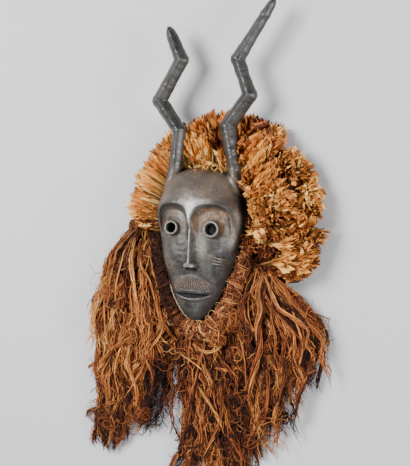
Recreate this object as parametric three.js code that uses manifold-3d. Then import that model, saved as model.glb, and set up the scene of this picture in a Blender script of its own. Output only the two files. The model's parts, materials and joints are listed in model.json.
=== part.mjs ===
// A horned dance mask of dark carved wood, with a ruff of cut raffia, a knotted band of bast
// along the jaw and three hanks of long bast hair. It lies face up on the ground.
// Millimetres. Until the last lines, x = 0 is the mask's middle, y = 0 the level of the eyes
// and z = 0 the flat back of the wooden rim, with +y towards the horns and +z out of the face.
import * as THREE from "three";
import { mergeVertices } from "three/addons/utils/BufferGeometryUtils.js";
import Module from "manifold-3d";

const wasm = await Module();
wasm.setup();

// Driving dimensions
const RIM_HEIGHT = 34; // the rim's back above the ground, carried by the fibres
const FACE_TOP = 99;
const FACE_CHIN = -147;
const WALL = 9; // thickness of the carved wall and of the rim
const EYE = { x: 33, y: 1, lid: 15.5, tube: 12.8, hole: 8.2, top: 60 };
const SOCKET = { half: 31.5, rise: 39, floor: 0.8, tilt: 20 };
const NOSE = { top: 26, tip: -57, under: -61, half: 8, wing: 11.5, ridge: 67.5 };
const MOUTH = { y: -101, half: 27, open: 7, depth: 5.5, lip: 3.4 };
const MOUSTACHE = { y: -96, half: 30, rise: 24, thick: 3 };
const HORN = { z: 15, root: 62 };
const CORD_RADIUS = 0.9;
const GAP = 0.5; // room between pieces that touch

const GROUND = -RIM_HEIGHT;
const FACE_MID = (FACE_TOP + FACE_CHIN) / 2;
const FACE_HALF = (FACE_TOP - FACE_CHIN) / 2;

// The face is half an ellipse from chin to crown. These, by level y, are what it is multiplied by.
const HALF_WIDTH = [[-147, 40], [-114, 47], [-77, 52], [-33, 63], [16, 77], [55, 88.7], [82, 103], [99, 121]];
const FACE_HEIGHT = [
  [-147, 58], [-120, 52], [-100, 49.7], [-75, 47.3], [-55, 49.6], [0, 55], [20, 58], [99, 60],
];
const BROW_HEIGHT = [
  [-60, 40], [-38, 49], [-15, 60], [5, 70], [25, 77], [40, 82], [55, 86], [72, 92], [99, 104],
];

// Colours and finishes
const WOOD = new THREE.MeshStandardMaterial({ color: 0x4b423a, roughness: 0.42, metalness: 0 });
const RAFFIA = new THREE.MeshStandardMaterial({ color: 0xc58a4e, roughness: 0.75, metalness: 0 });
const BAST = new THREE.MeshStandardMaterial({ color: 0x7a452a, roughness: 0.8, metalness: 0 });
const CORD = new THREE.MeshStandardMaterial({ color: 0xb59b80, roughness: 0.7, metalness: 0 });

const radians = THREE.MathUtils.degToRad;
const clamp01 = (t) => Math.min(1, Math.max(0, t));
const mix = (a, b, t) => a + (b - a) * t;
const steps = (count, make) => Array.from({ length: count + 1 }, (_, i) => make(i / count, i));
const smooth = (from, to, v) => {
  const t = clamp01((v - from) / (to - from));
  return t * t * (3 - 2 * t);
};

// A smooth curve through [place, value] pairs.
function along(table, place) {
  const last = table.length - 1;
  if (place <= table[0][0]) return table[0][1];
  if (place >= table[last][0]) return table[last][1];
  const i = table.findIndex((pair) => pair[0] > place) - 1;
  const slope = (a, b) => (table[b][1] - table[a][1]) / (table[b][0] - table[a][0]);
  const step = table[i + 1][0] - table[i][0];
  const before = slope(Math.max(i - 1, 0), i + 1) * step;
  const after = slope(i, Math.min(i + 2, last)) * step;
  const t = (place - table[i][0]) / step;
  const rise = table[i + 1][1] - table[i][1];
  const bend = 3 * rise - 2 * before - after;
  return table[i][1] + t * before + t ** 2 * bend + t ** 3 * (before + after - 2 * rise);
}

// A repeatable stream of numbers from 0 to 1.
function numbers(seed) {
  let state = seed;
  return () => {
    state = (state * 16807) % 2147483647;
    return state / 2147483647;
  };
}

// Solids from meshes and back

function solidOf(geometry) {
  const bare = geometry.index ? geometry.toNonIndexed() : geometry.clone();
  bare.deleteAttribute("normal");
  bare.deleteAttribute("uv");
  const merged = mergeVertices(bare, 1e-4);
  const mesh = new wasm.Mesh({
    numProp: 3,
    vertProperties: merged.attributes.position.array,
    triVerts: new Uint32Array(merged.index.array),
  });
  return new wasm.Manifold(mesh);
}

function geometryOf(solid) {
  const made = solid.getMesh();
  const geometry = new THREE.BufferGeometry();
  geometry.setAttribute("position", new THREE.BufferAttribute(new Float32Array(made.vertProperties), 3));
  geometry.setIndex(new THREE.BufferAttribute(new Uint32Array(made.triVerts), 1));
  const facets = geometry.toNonIndexed();
  facets.computeVertexNormals();
  return facets;
}

const fused = (solids) => solids.reduce((whole, next) => whole.add(next));

function meshed(points, triangles) {
  const geometry = new THREE.BufferGeometry();
  geometry.setFromPoints(points);
  geometry.setIndex(triangles.flat());
  return geometry;
}

// A solid from triangles that all turn the same way, in or out
function closed(points, triangles) {
  const solid = solidOf(meshed(points, triangles));
  if (solid.volume() > 0) return solid;
  return solidOf(meshed(points, triangles.map(([a, b, c]) => [a, c, b])));
}

// A closed solid through rings of points that all have the same count, with fanned ends.
function loft(rings) {
  const count = rings[0].length;
  const points = rings.flat();
  const triangles = [];
  for (let r = 0; r + 1 < rings.length; r++) {
    for (let i = 0; i < count; i++) {
      const a = r * count + i;
      const b = r * count + ((i + 1) % count);
      triangles.push([a, b, b + count], [a, b + count, a + count]);
    }
  }
  for (const end of [0, rings.length - 1]) {
    const middle = rings[end].reduce((sum, p) => sum.add(p), new THREE.Vector3()).divideScalar(count);
    const centre = points.push(middle) - 1;
    for (let i = 0; i < count; i++) {
      const a = end * count + i;
      const b = end * count + ((i + 1) % count);
      triangles.push(end === 0 ? [b, a, centre] : [a, b, centre]);
    }
  }
  return closed(points, triangles);
}

// A prism over an outline of [x, y] points.
function prism(outline, bottom, top) {
  const shape = new THREE.Shape(outline.map(([x, y]) => new THREE.Vector2(x, y)));
  const block = new THREE.ExtrudeGeometry(shape, { depth: top - bottom, bevelEnabled: false });
  block.translate(0, 0, bottom);
  return solidOf(block);
}

// A block that takes away everything lower than a level.
function allBelow(level) {
  const reach = 600;
  return prism([[-reach, -reach], [reach, -reach], [reach, reach], [-reach, reach]], level - 60, level);
}

// A turned solid on an upright axis, with flat ends, from [radius, height] points.
function turned(profile, x, y, sides) {
  const around = steps(sides - 1, (_, k) => (2 * Math.PI * k) / sides);
  return loft(profile.map(([radius, z]) => around.map((angle) => {
    return new THREE.Vector3(x + radius * Math.cos(angle), y + radius * Math.sin(angle), z);
  })));
}

// The carved face

const ellipse = (y, inset = 0) => Math.sqrt(Math.max(0, 1 - ((y - FACE_MID) / (FACE_HALF - inset)) ** 2));
const halfWidth = (y, inset = 0) => ellipse(y, inset) * (along(HALF_WIDTH, y) - inset);
const squareness = (y) => mix(2.7, 2.15, smooth(-60, 10, y));
const crown = (share, y) => Math.max(0, 1 - Math.abs(share) ** squareness(y)) ** 0.5;
const faceAt = (x, y) => ellipse(y) * crown(x / halfWidth(y), y) * along(FACE_HEIGHT, y);

// A point of the rim, out from it by a distance. Turn 0 is the right ear, 90 the crown, -90 the chin.
function rimPoint(turn, distance) {
  const left = turn > 90;
  const place = (angle) => {
    const y = FACE_MID + FACE_HALF * Math.sin(radians(angle));
    return new THREE.Vector2(halfWidth(y), y);
  };
  const folded = Math.min(89.4, Math.max(-89.4, left ? 180 - turn : turn));
  const ahead = place(folded + 0.5).sub(place(folded - 0.5)).normalize();
  const point = place(folded).add(new THREE.Vector2(ahead.y, -ahead.x).multiplyScalar(distance));
  return left ? point.set(-point.x, point.y) : point;
}

// Half an egg over the rim: its heights come from a table, and it may be smaller all round by an inset.
function dome(heights, { levels, columns, inset = 0, bottom = 0, from = -90 }) {
  const reach = FACE_HALF - inset;
  return loft(steps(levels - 1, (_, r) => {
    const turn = radians(mix(from, 90, (r + 0.3) / (levels - 0.4)));
    const y = FACE_MID + reach * Math.sin(turn);
    const half = halfWidth(y, inset);
    const arc = steps(columns, (u) => {
      const share = -Math.cos(Math.PI * u);
      const height = ellipse(y, inset) * crown(share, y) * (along(heights, y) - inset);
      return new THREE.Vector3(share * half, y, height);
    });
    return [...arc, new THREE.Vector3(half, y, bottom - 5), new THREE.Vector3(-half, y, bottom - 5)];
  }));
}

// The room of one eye socket: squarish rings that widen outwards, leaning towards the temple
function socketRoom(side) {
  const sides = 26;
  const lean = Math.tan(radians(SOCKET.tilt));
  return loft([[34, SOCKET.floor - 0.1], [49, SOCKET.floor], [64, 1], [95, 1.1]].map(([height, scale]) => {
    return steps(sides - 1, (_, k) => {
      const angle = (2 * Math.PI * k) / sides;
      const square = (Math.abs(Math.cos(angle)) ** 3 + Math.abs(Math.sin(angle)) ** 3) ** (-1 / 3);
      const x = SOCKET.half * square * scale * Math.cos(angle);
      const y = SOCKET.rise * square * scale * Math.sin(angle);
      return new THREE.Vector3(side * (EYE.x + x), y, height - lean * x);
    });
  }));
}

function nose() {
  return loft([NOSE.under, NOSE.tip, -48, -30, 0, NOSE.top].map((y) => {
    const top = y === NOSE.under ? NOSE.ridge - 12 : NOSE.ridge;
    const wing = smooth(-36, -50, y);
    const half = mix(NOSE.half, NOSE.wing, wing) * mix(0.55, 1, smooth(NOSE.top, -10, y));
    const low = faceAt(half, y) - 3;
    const flank = mix(low, top, mix(0.32, 0.55, wing));
    const section = [[half, low], [half * mix(0.5, 0.75, wing), flank], [0.9, top]];
    const mirrored = section.map(([x, z]) => [-x, z]).reverse();
    return [...section, ...mirrored, [0, 35]].map(([x, z]) => new THREE.Vector3(x, y, z));
  }));
}

// A tube along the mouth, thin at its corners. Its middle hangs lower than the corners by the bow.
function lip(level, bow, radius) {
  const sides = 5;
  return loft(steps(8, (t) => {
    const share = mix(-1, 1, t);
    const arch = 1 - share * share;
    const x = share * (MOUTH.half + 1);
    const y = level - bow * arch;
    const thick = radius * mix(0.45, 1, Math.sqrt(arch));
    return steps(sides - 1, (_, k) => {
      const angle = (2 * Math.PI * k) / sides;
      const z = faceAt(x, y) + thick * (Math.sin(angle) - 0.1);
      return new THREE.Vector3(x, y + thick * Math.cos(angle), z);
    });
  }));
}

function mouthOpening() {
  const upper = [[-MOUTH.half, MOUTH.y], [MOUTH.half, MOUTH.y]];
  const lower = steps(8, (t) => mix(1, -1, t)).slice(1, -1).map((share) => {
    return [share * MOUTH.half, MOUTH.y - MOUTH.open * (1 - share * share)];
  });
  const kept = dome(FACE_HEIGHT, { levels: 10, columns: 8, inset: MOUTH.depth, bottom: -20 });
  return prism([...upper, ...lower], 15, 80).subtract(kept);
}

function moustache() {
  const fan = steps(14, (t) => [
    MOUSTACHE.half * Math.cos(Math.PI * t),
    MOUSTACHE.y + MOUSTACHE.rise * Math.max(0, Math.sin(Math.PI * t)) ** 0.8,
  ]);
  const raised = dome(FACE_HEIGHT, { levels: 18, columns: 12, inset: -MOUSTACHE.thick });
  return raised.intersect(prism(fan, 20, 80));
}

// A zigzag horn: mitred rings of a ridged section at the bends, tapering to a blunt tip.
// Stops are [x, y, full width]. Room makes it thicker all round.
function horn(stops, room = 0, sides = 8) {
  const places = stops.map(([x, y]) => new THREE.Vector3(x, y, HORN.z));
  const heading = (stop) => {
    const i = Math.min(stop, stops.length - 2);
    return places[i + 1].clone().sub(places[i]).normalize();
  };
  return loft(stops.map(([, , width], i) => {
    const out = heading(i);
    const ahead = heading(Math.max(0, i - 1)).add(out).normalize();
    const mitre = 1 / Math.max(0.6, ahead.dot(out));
    const side = new THREE.Vector3(ahead.y, -ahead.x, 0);
    return steps(sides - 1, (_, k) => {
      const angle = (2 * Math.PI * k) / sides;
      const radius = (width * (1 - 0.12 * Math.abs(Math.sin(2 * angle)))) / 2 + room;
      const lifted = HORN.z + Math.sin(angle) * radius;
      return places[i].clone().addScaledVector(side, Math.cos(angle) * radius * mitre).setZ(lifted);
    });
  }));
}

const LEFT_HORN = [
  [-51, HORN.root, 29], [-50, 82, 23], [-48, 96, 19.5], [-44, 157, 19], [-75.5, 204, 20],
  [-46, 269.5, 17.5], [-59, 297, 15.5], [-67, 314, 10], [-70, 321, 3.5],
];
const RIGHT_HORN = [
  [54, HORN.root, 30], [54.5, 84, 25], [52.5, 99, 22.5], [37, 164, 21], [74.5, 214, 20],
  [48.5, 271, 18.5], [78, 322, 15], [99, 359, 10.5], [104, 367.5, 8], [106, 371, 3.5],
];

function carvedMask() {
  const eyes = [-EYE.x, EYE.x];
  const eyeProfile = [
    [EYE.lid + 2, 30], [EYE.lid + 2, 46.5], [EYE.lid - 0.5, 50.5], [EYE.tube + 1, 49.5],
    [EYE.tube, EYE.top - 0.8], [EYE.tube - 1, EYE.top],
  ];
  const brow = dome(BROW_HEIGHT, { levels: 11, columns: 12, from: -18 });
  const sockets = [-1, 1].map(socketRoom);
  const raised = [
    brow.subtract(fused(sockets)),
    nose(),
    moustache(),
    lip(MOUTH.y + MOUTH.lip, 0, MOUTH.lip),
    lip(MOUTH.y - MOUTH.lip, MOUTH.open, MOUTH.lip),
    ...eyes.map((x) => turned(eyeProfile, x, EYE.y, 16)),
    horn(LEFT_HORN),
    horn(RIGHT_HORN),
  ];
  const hollow = dome(FACE_HEIGHT, { levels: 11, columns: 8, inset: WALL, bottom: -5 });
  const eyeHoles = eyes.map((x) => turned([[EYE.hole, -20], [EYE.hole, 90]], x, EYE.y, 16));
  const nostrils = [-4.5, 4.5].map((x) => turned([[2.8, 45], [2.4, 60]], x, NOSE.under + 1.5, 8));
  return fused([dome(FACE_HEIGHT, { levels: 20, columns: 12 }), ...raised])
    .subtract(fused([hollow, ...eyeHoles, ...nostrils, mouthOpening(), allBelow(0)]));
}

// The room over the back of the rim, which no fibre enters
function rimRoom() {
  const outline = steps(35, (_, i) => rimPoint(-85 + i * 10, 2 * GAP).toArray());
  return prism(outline, -GAP, 120);
}

// The knotted band that carries the hair, from the left ear under the chin to the right ear
function jawBand(room = 0) {
  const reach = [[0, 31], [0.72, 29], [1, 20]];
  const sections = 36;
  return loft(steps(sections, (t, i) => {
    const share = 2 * t - 1;
    const turn = mix(-90, 6, Math.abs(share)) + (Math.abs(share) === 1 ? room : 0);
    const knot = 0.9 + 0.2 * Math.abs(Math.sin(i * 1.57 + 0.4));
    const width = along(reach, Math.abs(share)) * knot + room;
    const section = [
      [-6, GROUND - room], [-6, -GAP], [1.2, -GAP], [3.4, 6 * knot + room], [width * 0.45, 10 * knot + room],
      [width * 0.85, room], [width, GROUND * 0.5], [width * 0.94, GROUND - room],
    ];
    return section.map(([distance, z]) => {
      const p = rimPoint(share > 0 ? turn : 180 - turn, distance);
      return new THREE.Vector3(p.x, p.y, z);
    });
  }));
}

// Where the beard and the right hank part, as x by level
const PARTING = [
  [-395, 96], [-355, 84], [-320, 74], [-280, 67], [-225, 58], [-190, 50], [-165, 44], [-120, 30],
];

// All that lies on the other side of the parting from a hank: the side is 1 right of it, -1 left of it.
function beyondParting(side) {
  const edge = PARTING.map(([y, x]) => [x + side * GAP, y]);
  return prism([...edge, [-side * 400, PARTING.at(-1)[0]], [-side * 400, PARTING[0][0]]], GROUND - 5, 60);
}

// The hanks of hair: their ends, the side of the parting that they lie on, and by level y
// their left and right edges, as x, and their height over the ground.
const HANKS = {
  hair_left: {
    top: -4, bottom: -338, locks: 8, seed: 7, side: -1,
    left: [[-345, -182], [-320, -190], [-280, -188], [-243, -190], [-190, -178], [-150, -187], [-100, -178],
      [-60, -166], [-20, -136], [0, -126]],
    right: [[-345, -108], [-320, -98], [-276, -74], [-203, -62], [-163, -53], [-115, -58], [-50, -66],
      [0, -84]],
    height: [[-345, 12], [-300, 22], [-240, 30], [-150, 38], [-60, 42], [-20, 36], [0, 26]],
  },
  beard: {
    top: -156, bottom: -378, locks: 7, seed: 19, side: -1,
    left: [[-390, -22], [-338, -28], [-280, -30], [-225, -34], [-180, -30], [-150, -26]],
    right: PARTING,
    height: [[-390, 10], [-340, 20], [-280, 28], [-210, 34], [-150, 34]],
  },
  hair_right: {
    top: -34, bottom: -346, locks: 8, seed: 31, side: 1,
    left: [...PARTING, [-60, 76], [-30, 92]],
    right: [[-352, 138], [-330, 153], [-304, 162], [-278, 171], [-225, 196], [-173, 212], [-147, 206],
      [-122, 192], [-98, 162], [-60, 126], [-30, 108]],
    height: [[-352, 12], [-310, 24], [-250, 34], [-173, 42], [-110, 44], [-60, 36], [-30, 24]],
  },
};

// The skin of a hank at a level: a place across it from -1 to 1, and the arch's height there
function hankSkin({ left, right, height }, y, place) {
  const x = mix(along(left, y), along(right, y), (place + 1) / 2);
  const arch = Math.max(0, 1 - Math.abs(place) ** 2.4) ** 0.5;
  return { x, z: along(height, y) * 0.84 * arch };
}

const hankWidth = ({ left, right }, y) => along(right, y) - along(left, y);

function hankBody(hank) {
  return loft(steps(7, (t) => {
    const y = mix(hank.top, hank.bottom, t);
    const arch = [-0.93, -0.75, -0.3, 0.3, 0.75, 0.93].map((place) => {
      const { x, z } = hankSkin(hank, y, place);
      return new THREE.Vector3(x, y, GROUND + z * 0.88);
    });
    const foot = [0.88, -0.88].map((place) => new THREE.Vector3(hankSkin(hank, y, place).x, y, GROUND - 2));
    return [...arch, ...foot];
  }));
}

const LOCK_SECTION = [[1, -1.6], [0.9, 0.1], [0, 0.65], [-0.9, 0], [-1, -1.6]];

// One lock of hair, which lies on the hank's body and runs out past its end
function lock(hank, home, next) {
  const sway = 0.07 + 0.07 * next();
  const phase = 6.28 * next();
  const past = 2 + 18 * next();
  const fullness = 0.62 + 0.2 * next();
  const widest = (hankWidth(hank, -230) / hank.locks) * fullness;
  return loft(steps(6, (t) => {
    const y = mix(hank.top - 4, hank.bottom - past, t);
    const width = hankWidth(hank, y);
    const radius = Math.min(widest, (width / hank.locks) * 0.9) * mix(1, 0.42, smooth(0.6, 1, t));
    const inside = 1 - radius / (width / 2);
    const place = home + sway * Math.sin(phase + 7 * t);
    const { x, z } = hankSkin(hank, y, Math.min(inside, Math.max(-inside, place)));
    const level = GROUND + Math.max(radius * 0.6, z);
    return LOCK_SECTION.map(([across, up]) => new THREE.Vector3(x + radius * across, y, level + radius * up));
  }));
}

function hair(hank) {
  const next = numbers(hank.seed);
  const strands = steps(hank.locks - 1, (t) => lock(hank, mix(-0.95, 0.95, t), next));
  return fused([hankBody(hank), ...strands])
    .subtract(fused([allBelow(GROUND), jawBand(GAP), rimRoom(), beyondParting(hank.side)]));
}

// The room of a hank's upper part, which the ruff leaves free
function hankRoom(hank) {
  const clear = 4;
  const levels = steps(8, (t) => mix(hank.top + GAP, hank.top - 110, t));
  const left = levels.map((y) => [along(hank.left, y) - clear, y]);
  const right = levels.map((y) => [along(hank.right, y) + clear, y]);
  return prism([...left, ...right.reverse()], GROUND - 5, 60);
}

// The ruff, from the left ear over the crown to the right cheek. Each station is a turn round the
// rim, the inner edge's distance from the rim, the outer edge's x and y, and the crest's height.
const RUFF = [
  [174, -6, -124, 4, 4], [164, -6, -130, 32, 10], [150, -6, -127, 64, 12], [135, -6, -114, 100, 9],
  [120, -6, -94, 134, 4], [105, -6, -56, 164, 2], [90, -6, -6, 181, 6], [75, -6, 42, 183, 4],
  [61, -6, 90, 178, 8], [48, -6, 126, 153, 26], [36, -6, 162, 115, 36], [24, -4, 184, 76, 40],
  [12, -2, 194, 30, 40], [2, 18, 195, -14, 34], [-8, 44, 186, -52, 24], [-16, 70, 160, -76, 2],
];
const RUFF_SECTION = [
  [0, 0], [0, 0.9], [0.14, 0.95], [0.4, 1.02], [0.72, 0.92], [0.93, 0.64], [1.02, 0.34], [0.86, 0],
];

// A point on the ruff: a share of its length, of its breadth, and of its height over the ground
function ruffPoint(share, breadth, height) {
  const read = (column) => along(RUFF.map((station, i) => [i, station[column]]), share * (RUFF.length - 1));
  const inner = rimPoint(read(0), read(1));
  const across = new THREE.Vector2(read(2), read(3)).sub(inner);
  const p = inner.addScaledVector(across, breadth);
  return new THREE.Vector3(p.x, p.y, GROUND + (read(4) - GROUND) * height);
}

// A blunt flat bundle of strips
function tuft(from, ahead, length, footHalf, tipHalf) {
  const across = new THREE.Vector3().crossVectors(ahead, new THREE.Vector3(0.3, 0.2, 1)).normalize();
  const over = new THREE.Vector3().crossVectors(ahead, across);
  const ring = (distance, half) => [[1, 0.5], [-1, 0.4], [-0.9, -0.5], [0.8, -0.5]].map(([u, v]) => {
    const side = across.clone().multiplyScalar(half * u).addScaledVector(over, half * v);
    return from.clone().addScaledVector(ahead, distance).add(side);
  });
  return loft([ring(0, footHalf), ring(length, tipHalf)]);
}

function ruff() {
  const next = numbers(41);
  const sections = 44;
  const pleats = loft(steps(sections, (t, i) => {
    const pleat = (i % 2 ? 0.05 : -0.04) + 0.05 * (next() - 0.5);
    return RUFF_SECTION.map(([breadth, height]) => {
      return ruffPoint(t, breadth * (1 + pleat), height > 0.2 ? height * (1 + pleat) : height);
    });
  }));
  const tufts = steps(20, (t, i) => {
    const share = mix(0.56, 0.97, t);
    const [breadth, height] = [[0.42, 1], [0.97, 0.5], [0.7, 0.9]][i % 3];
    const foot = ruffPoint(share, breadth, height);
    const ahead = foot.clone().sub(ruffPoint(share, 0.5, 0.25)).normalize();
    return tuft(foot.clone().addScaledVector(ahead, -10), ahead, 16 + 5 * next(), 9, 7);
  });
  const hornRoom = [LEFT_HORN, RIGHT_HORN].map((stops) => horn(stops.slice(0, 6), 1));
  const hankRooms = Object.values(HANKS).map(hankRoom);
  return fused([pleats, ...tufts])
    .subtract(fused([rimRoom(), allBelow(GROUND), ...hornRoom, ...hankRooms, jawBand(GAP)]));
}

// The share of the half width at which the carved wall has fallen to a height
function wallShare(y, height) {
  const whole = ellipse(y) * along(FACE_HEIGHT, y);
  return (1 - Math.min(1, height / whole) ** 2) ** (1 / squareness(y));
}

// The thin cord that lashes the left jaw, lying against the carved wall
function jawCord() {
  const points = [212, 218, 225, 232, 239, 245, 251, 256].map((turn) => {
    const rim = rimPoint(turn, 0);
    const out = rimPoint(turn, 1).sub(rim);
    const level = Math.min(15, 0.5 * ellipse(rim.y) * along(FACE_HEIGHT, rim.y));
    const wall = new THREE.Vector2(rim.x * wallShare(rim.y, level), rim.y);
    wall.addScaledVector(out, CORD_RADIUS + GAP);
    return new THREE.Vector3(wall.x, wall.y, level);
  });
  const section = new THREE.Shape();
  section.absarc(0, 0, CORD_RADIUS, 0, 2 * Math.PI);
  const path = new THREE.CatmullRomCurve3(points);
  return solidOf(new THREE.ExtrudeGeometry(section, {
    steps: 20, curveSegments: 3, extrudePath: path, bevelEnabled: false,
  }));
}

const group = new THREE.Group();
const place = (name, solid, material) => {
  const mesh = new THREE.Mesh(geometryOf(solid), material);
  mesh.name = name;
  group.add(mesh);
};

place("carved_mask", carvedMask(), WOOD);
place("raffia_ruff", ruff(), RAFFIA);
place("jaw_band", jawBand(), BAST);
for (const [name, hank] of Object.entries(HANKS)) place(name, hair(hank), BAST);
place("jaw_cord", jawCord(), CORD);

// The origin is the middle of the whole part's footprint, on the ground.
const box = new THREE.Box3().setFromObject(group);
group.position.set(-(box.min.x + box.max.x) / 2, -(box.min.y + box.max.y) / 2, -box.min.z);

export default group;
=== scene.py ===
"""The looks of a horned dance mask: dark carved wood, a ruff of cut raffia, a plaited band along the
jaw and three hanks of long bast hair. It lies face up on a pale floor.

Shapes are worked out in millimetres, in the mask's own axes: x = 0 is the mask's middle, y = 0 the
level of the eyes and z = 0 the flat back of the wooden rim, with +y towards the horns and +z out of
the face. to_frame() turns them into metres in the row's frame.
"""

import json
import logging
import math
from dataclasses import dataclass, fields
from enum import Enum
from typing import Any, Optional, Sequence

import bpy
import numpy as np
from mathutils import Matrix, Vector

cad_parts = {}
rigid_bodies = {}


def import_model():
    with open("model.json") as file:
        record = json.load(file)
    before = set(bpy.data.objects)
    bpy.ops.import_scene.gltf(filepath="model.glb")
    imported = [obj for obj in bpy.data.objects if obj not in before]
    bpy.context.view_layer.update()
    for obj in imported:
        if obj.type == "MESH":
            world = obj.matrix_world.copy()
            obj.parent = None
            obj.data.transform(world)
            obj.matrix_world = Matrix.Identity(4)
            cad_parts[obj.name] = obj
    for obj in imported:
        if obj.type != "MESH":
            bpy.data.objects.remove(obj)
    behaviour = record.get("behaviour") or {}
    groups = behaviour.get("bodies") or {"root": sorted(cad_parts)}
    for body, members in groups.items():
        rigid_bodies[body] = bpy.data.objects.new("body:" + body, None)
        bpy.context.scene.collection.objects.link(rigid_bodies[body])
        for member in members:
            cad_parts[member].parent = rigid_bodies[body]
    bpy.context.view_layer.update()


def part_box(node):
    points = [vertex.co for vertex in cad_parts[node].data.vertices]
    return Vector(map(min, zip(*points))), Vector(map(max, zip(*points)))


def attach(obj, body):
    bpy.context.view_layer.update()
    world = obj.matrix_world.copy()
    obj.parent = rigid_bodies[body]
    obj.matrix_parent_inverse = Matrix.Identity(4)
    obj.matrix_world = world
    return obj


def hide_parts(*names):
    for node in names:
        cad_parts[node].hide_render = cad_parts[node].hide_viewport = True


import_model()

LOG = logging.getLogger("dance_mask")

MM = 0.001
HORN_REACH_RIGHT = 107.5  # the right horn's tip, right of the mask's middle
CHIN_REACH = 146.9  # the chin below the level of the eyes
RIM_HEIGHT = 34.0  # the rim's back above the ground, carried by the fibres
GROUND = -RIM_HEIGHT
TURN = 6.28  # a full turn in radians, from which a wave's start or a fibre's place is drawn
HAIR_SIDES = (-202.0, 214.0)  # how far left and right the hair reaches
HAIR_FOOT = -408.0  # and how far down, past the photograph's lower edge
HAIR_GAP = 0.1  # the least gap under a fibre
CORE_GAP = 0.4  # and under a core
STRIP_GAP = 0.2  # and under a strip
NOWHERE = -60.0  # a height that lies below all of the face

Table = Sequence[Sequence[float]]
Array = np.ndarray
Chance = np.random.Generator
Object = bpy.types.Object
Mesh = bpy.types.Mesh
Material = bpy.types.Material
Node = bpy.types.Node
Socket = bpy.types.NodeSocket
Tree = bpy.types.NodeTree


def mask_origin() -> Array:
    """Returns the mask's own origin in the row's frame, in metres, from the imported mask's box."""
    low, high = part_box("carved_mask")
    return np.array([high.x - HORN_REACH_RIGHT * MM, low.y + CHIN_REACH * MM, low.z])


ORIGIN = mask_origin()


def to_frame(points: Array) -> Array:
    """Turns places in the mask's axes, in millimetres, into the row's frame, in metres."""
    return np.asarray(points, float) * MM + ORIGIN


# Numbers


def along(table: Table, place: Array) -> Array:
    """Reads a smooth curve through pairs of place and value.

    Args:
        table: The pairs, by rising place.
        place: Where to read it. Past the ends it stays at the end's value.

    Returns:
        The values at those places.
    """
    places, values = np.asarray(table, float).T
    last = len(places) - 1
    place = np.clip(place, places[0], places[last])
    i = np.clip(np.searchsorted(places, place, side="right") - 1, 0, last - 1)
    before, after = np.maximum(i - 1, 0), np.minimum(i + 2, last)
    step = places[i + 1] - places[i]
    rise = values[i + 1] - values[i]
    start = (values[i + 1] - values[before]) / (places[i + 1] - places[before]) * step
    end = (values[after] - values[i]) / (places[after] - places[i]) * step
    t = (place - places[i]) / step
    return values[i] + t * start + t**2 * (3 * rise - 2 * start - end) + t**3 * (start + end - 2 * rise)


def mix(a: Any, b: Any, share: Any) -> Any:
    """Returns what lies at a share of the way from a to b."""
    return a + (b - a) * share


def smooth(low: float, high: float, value: Array) -> Array:
    """Returns 0 at low, 1 at high and a smooth rise between them."""
    t = np.clip((np.asarray(value, float) - low) / (high - low), 0, 1)
    return t * t * (3 - 2 * t)


def blended_max(a: Array, b: Array, reach: float) -> Array:
    """Returns the larger of two heights, rounded where they cross within the reach."""
    t = np.clip(0.5 + 0.5 * (b - a) / reach, 0, 1)
    return mix(a, b, t) + reach * t * (1 - t)


def blended_min(a: Array, b: Array, reach: float) -> Array:
    """Returns the smaller of two heights, rounded where they cross within the reach."""
    return -blended_max(-a, -b, reach)


def held(value: Array, low: float, high: float) -> Array:
    """Returns places drawn back, past either limit, to a fifth of their distance from it."""
    return value - 0.8 * (np.maximum(value - high, 0) + np.minimum(value - low, 0))


def bell(value: Array, middle: Any, width: float) -> Array:
    """Returns 1 at the middle, falling to nearly 0 at twice the width from it."""
    return np.exp(-(((value - middle) / width) ** 2))


def unit(vectors: Array) -> Array:
    """Returns the vectors at length 1."""
    return vectors / np.maximum(np.linalg.norm(vectors, axis=-1, keepdims=True), 1e-9)


def in_plane(vectors: Array, normals: Array) -> Array:
    """Returns the part of each vector that lies square to its normal."""
    return vectors - normals * np.einsum("ij,ij->i", vectors, normals)[:, None]


def run_of(stops: Array) -> Array:
    """Returns how far along a line its stops lie, from their x and y."""
    return np.concatenate([[0], np.cumsum(np.linalg.norm(np.diff(stops[:, :2], axis=0), axis=1))])


# Meshes


def linked(name: str, data: bpy.types.ID) -> Object:
    """Makes an object of some data and links it to the scene."""
    made = bpy.data.objects.new(name, data)
    bpy.context.scene.collection.objects.link(made)
    return made


def tube_faces(ring_count: int, count: int) -> list[Sequence[int]]:
    """Returns the faces of a tube through rings of so many points, closed by a flat face at each end."""
    numbers = np.arange(ring_count * count).reshape(ring_count, count)
    ahead = np.roll(numbers, -1, axis=1)
    sides = np.stack([numbers[:-1], ahead[:-1], ahead[1:], numbers[1:]], -1).reshape(-1, 4)
    return [*sides.tolist(), numbers[0][::-1].tolist(), numbers[-1].tolist()]


def loft(name: str, rings: Array) -> Object:
    """Makes a closed solid through rings of points, its faces pointing outwards.

    Args:
        name: The object's name.
        rings: The rings' points in the mask's axes, as an array of ring, point and axis.

    Returns:
        The object, linked to the scene, with its place in its mesh.
    """
    mesh = bpy.data.meshes.new(name)
    mesh.from_pydata(to_frame(rings.reshape(-1, 3)).tolist(), [], tube_faces(*rings.shape[:2]))
    mesh.update()
    made = linked(name, mesh)
    turn_outwards(made)
    return made


def dark_core(name: str, rings: Array, tone: float) -> Object:
    """Makes the solid that shows between fibres, dark as painted shade of the fibres' depths.

    Args:
        name: The object's name.
        rings: The rings' points, as for a loft.
        tone: Its tone, the same all over, kept dark as painted shade.

    Returns:
        The object, which carries a fibre's tone and reach.
    """
    made = loft(name, rings)
    for key, value in (("tone", tone), ("reach", 1.0)):
        store(made.data, key, np.full(len(made.data.vertices), value))
    return made


def footed(rings: Array, level: float) -> Array:
    """Returns rings with two more points each: their last and their first one, brought to a level."""
    foot = rings[:, [-1, 0]].copy()
    foot[..., 2] = level
    return np.concatenate([rings, foot], axis=1)


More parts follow.
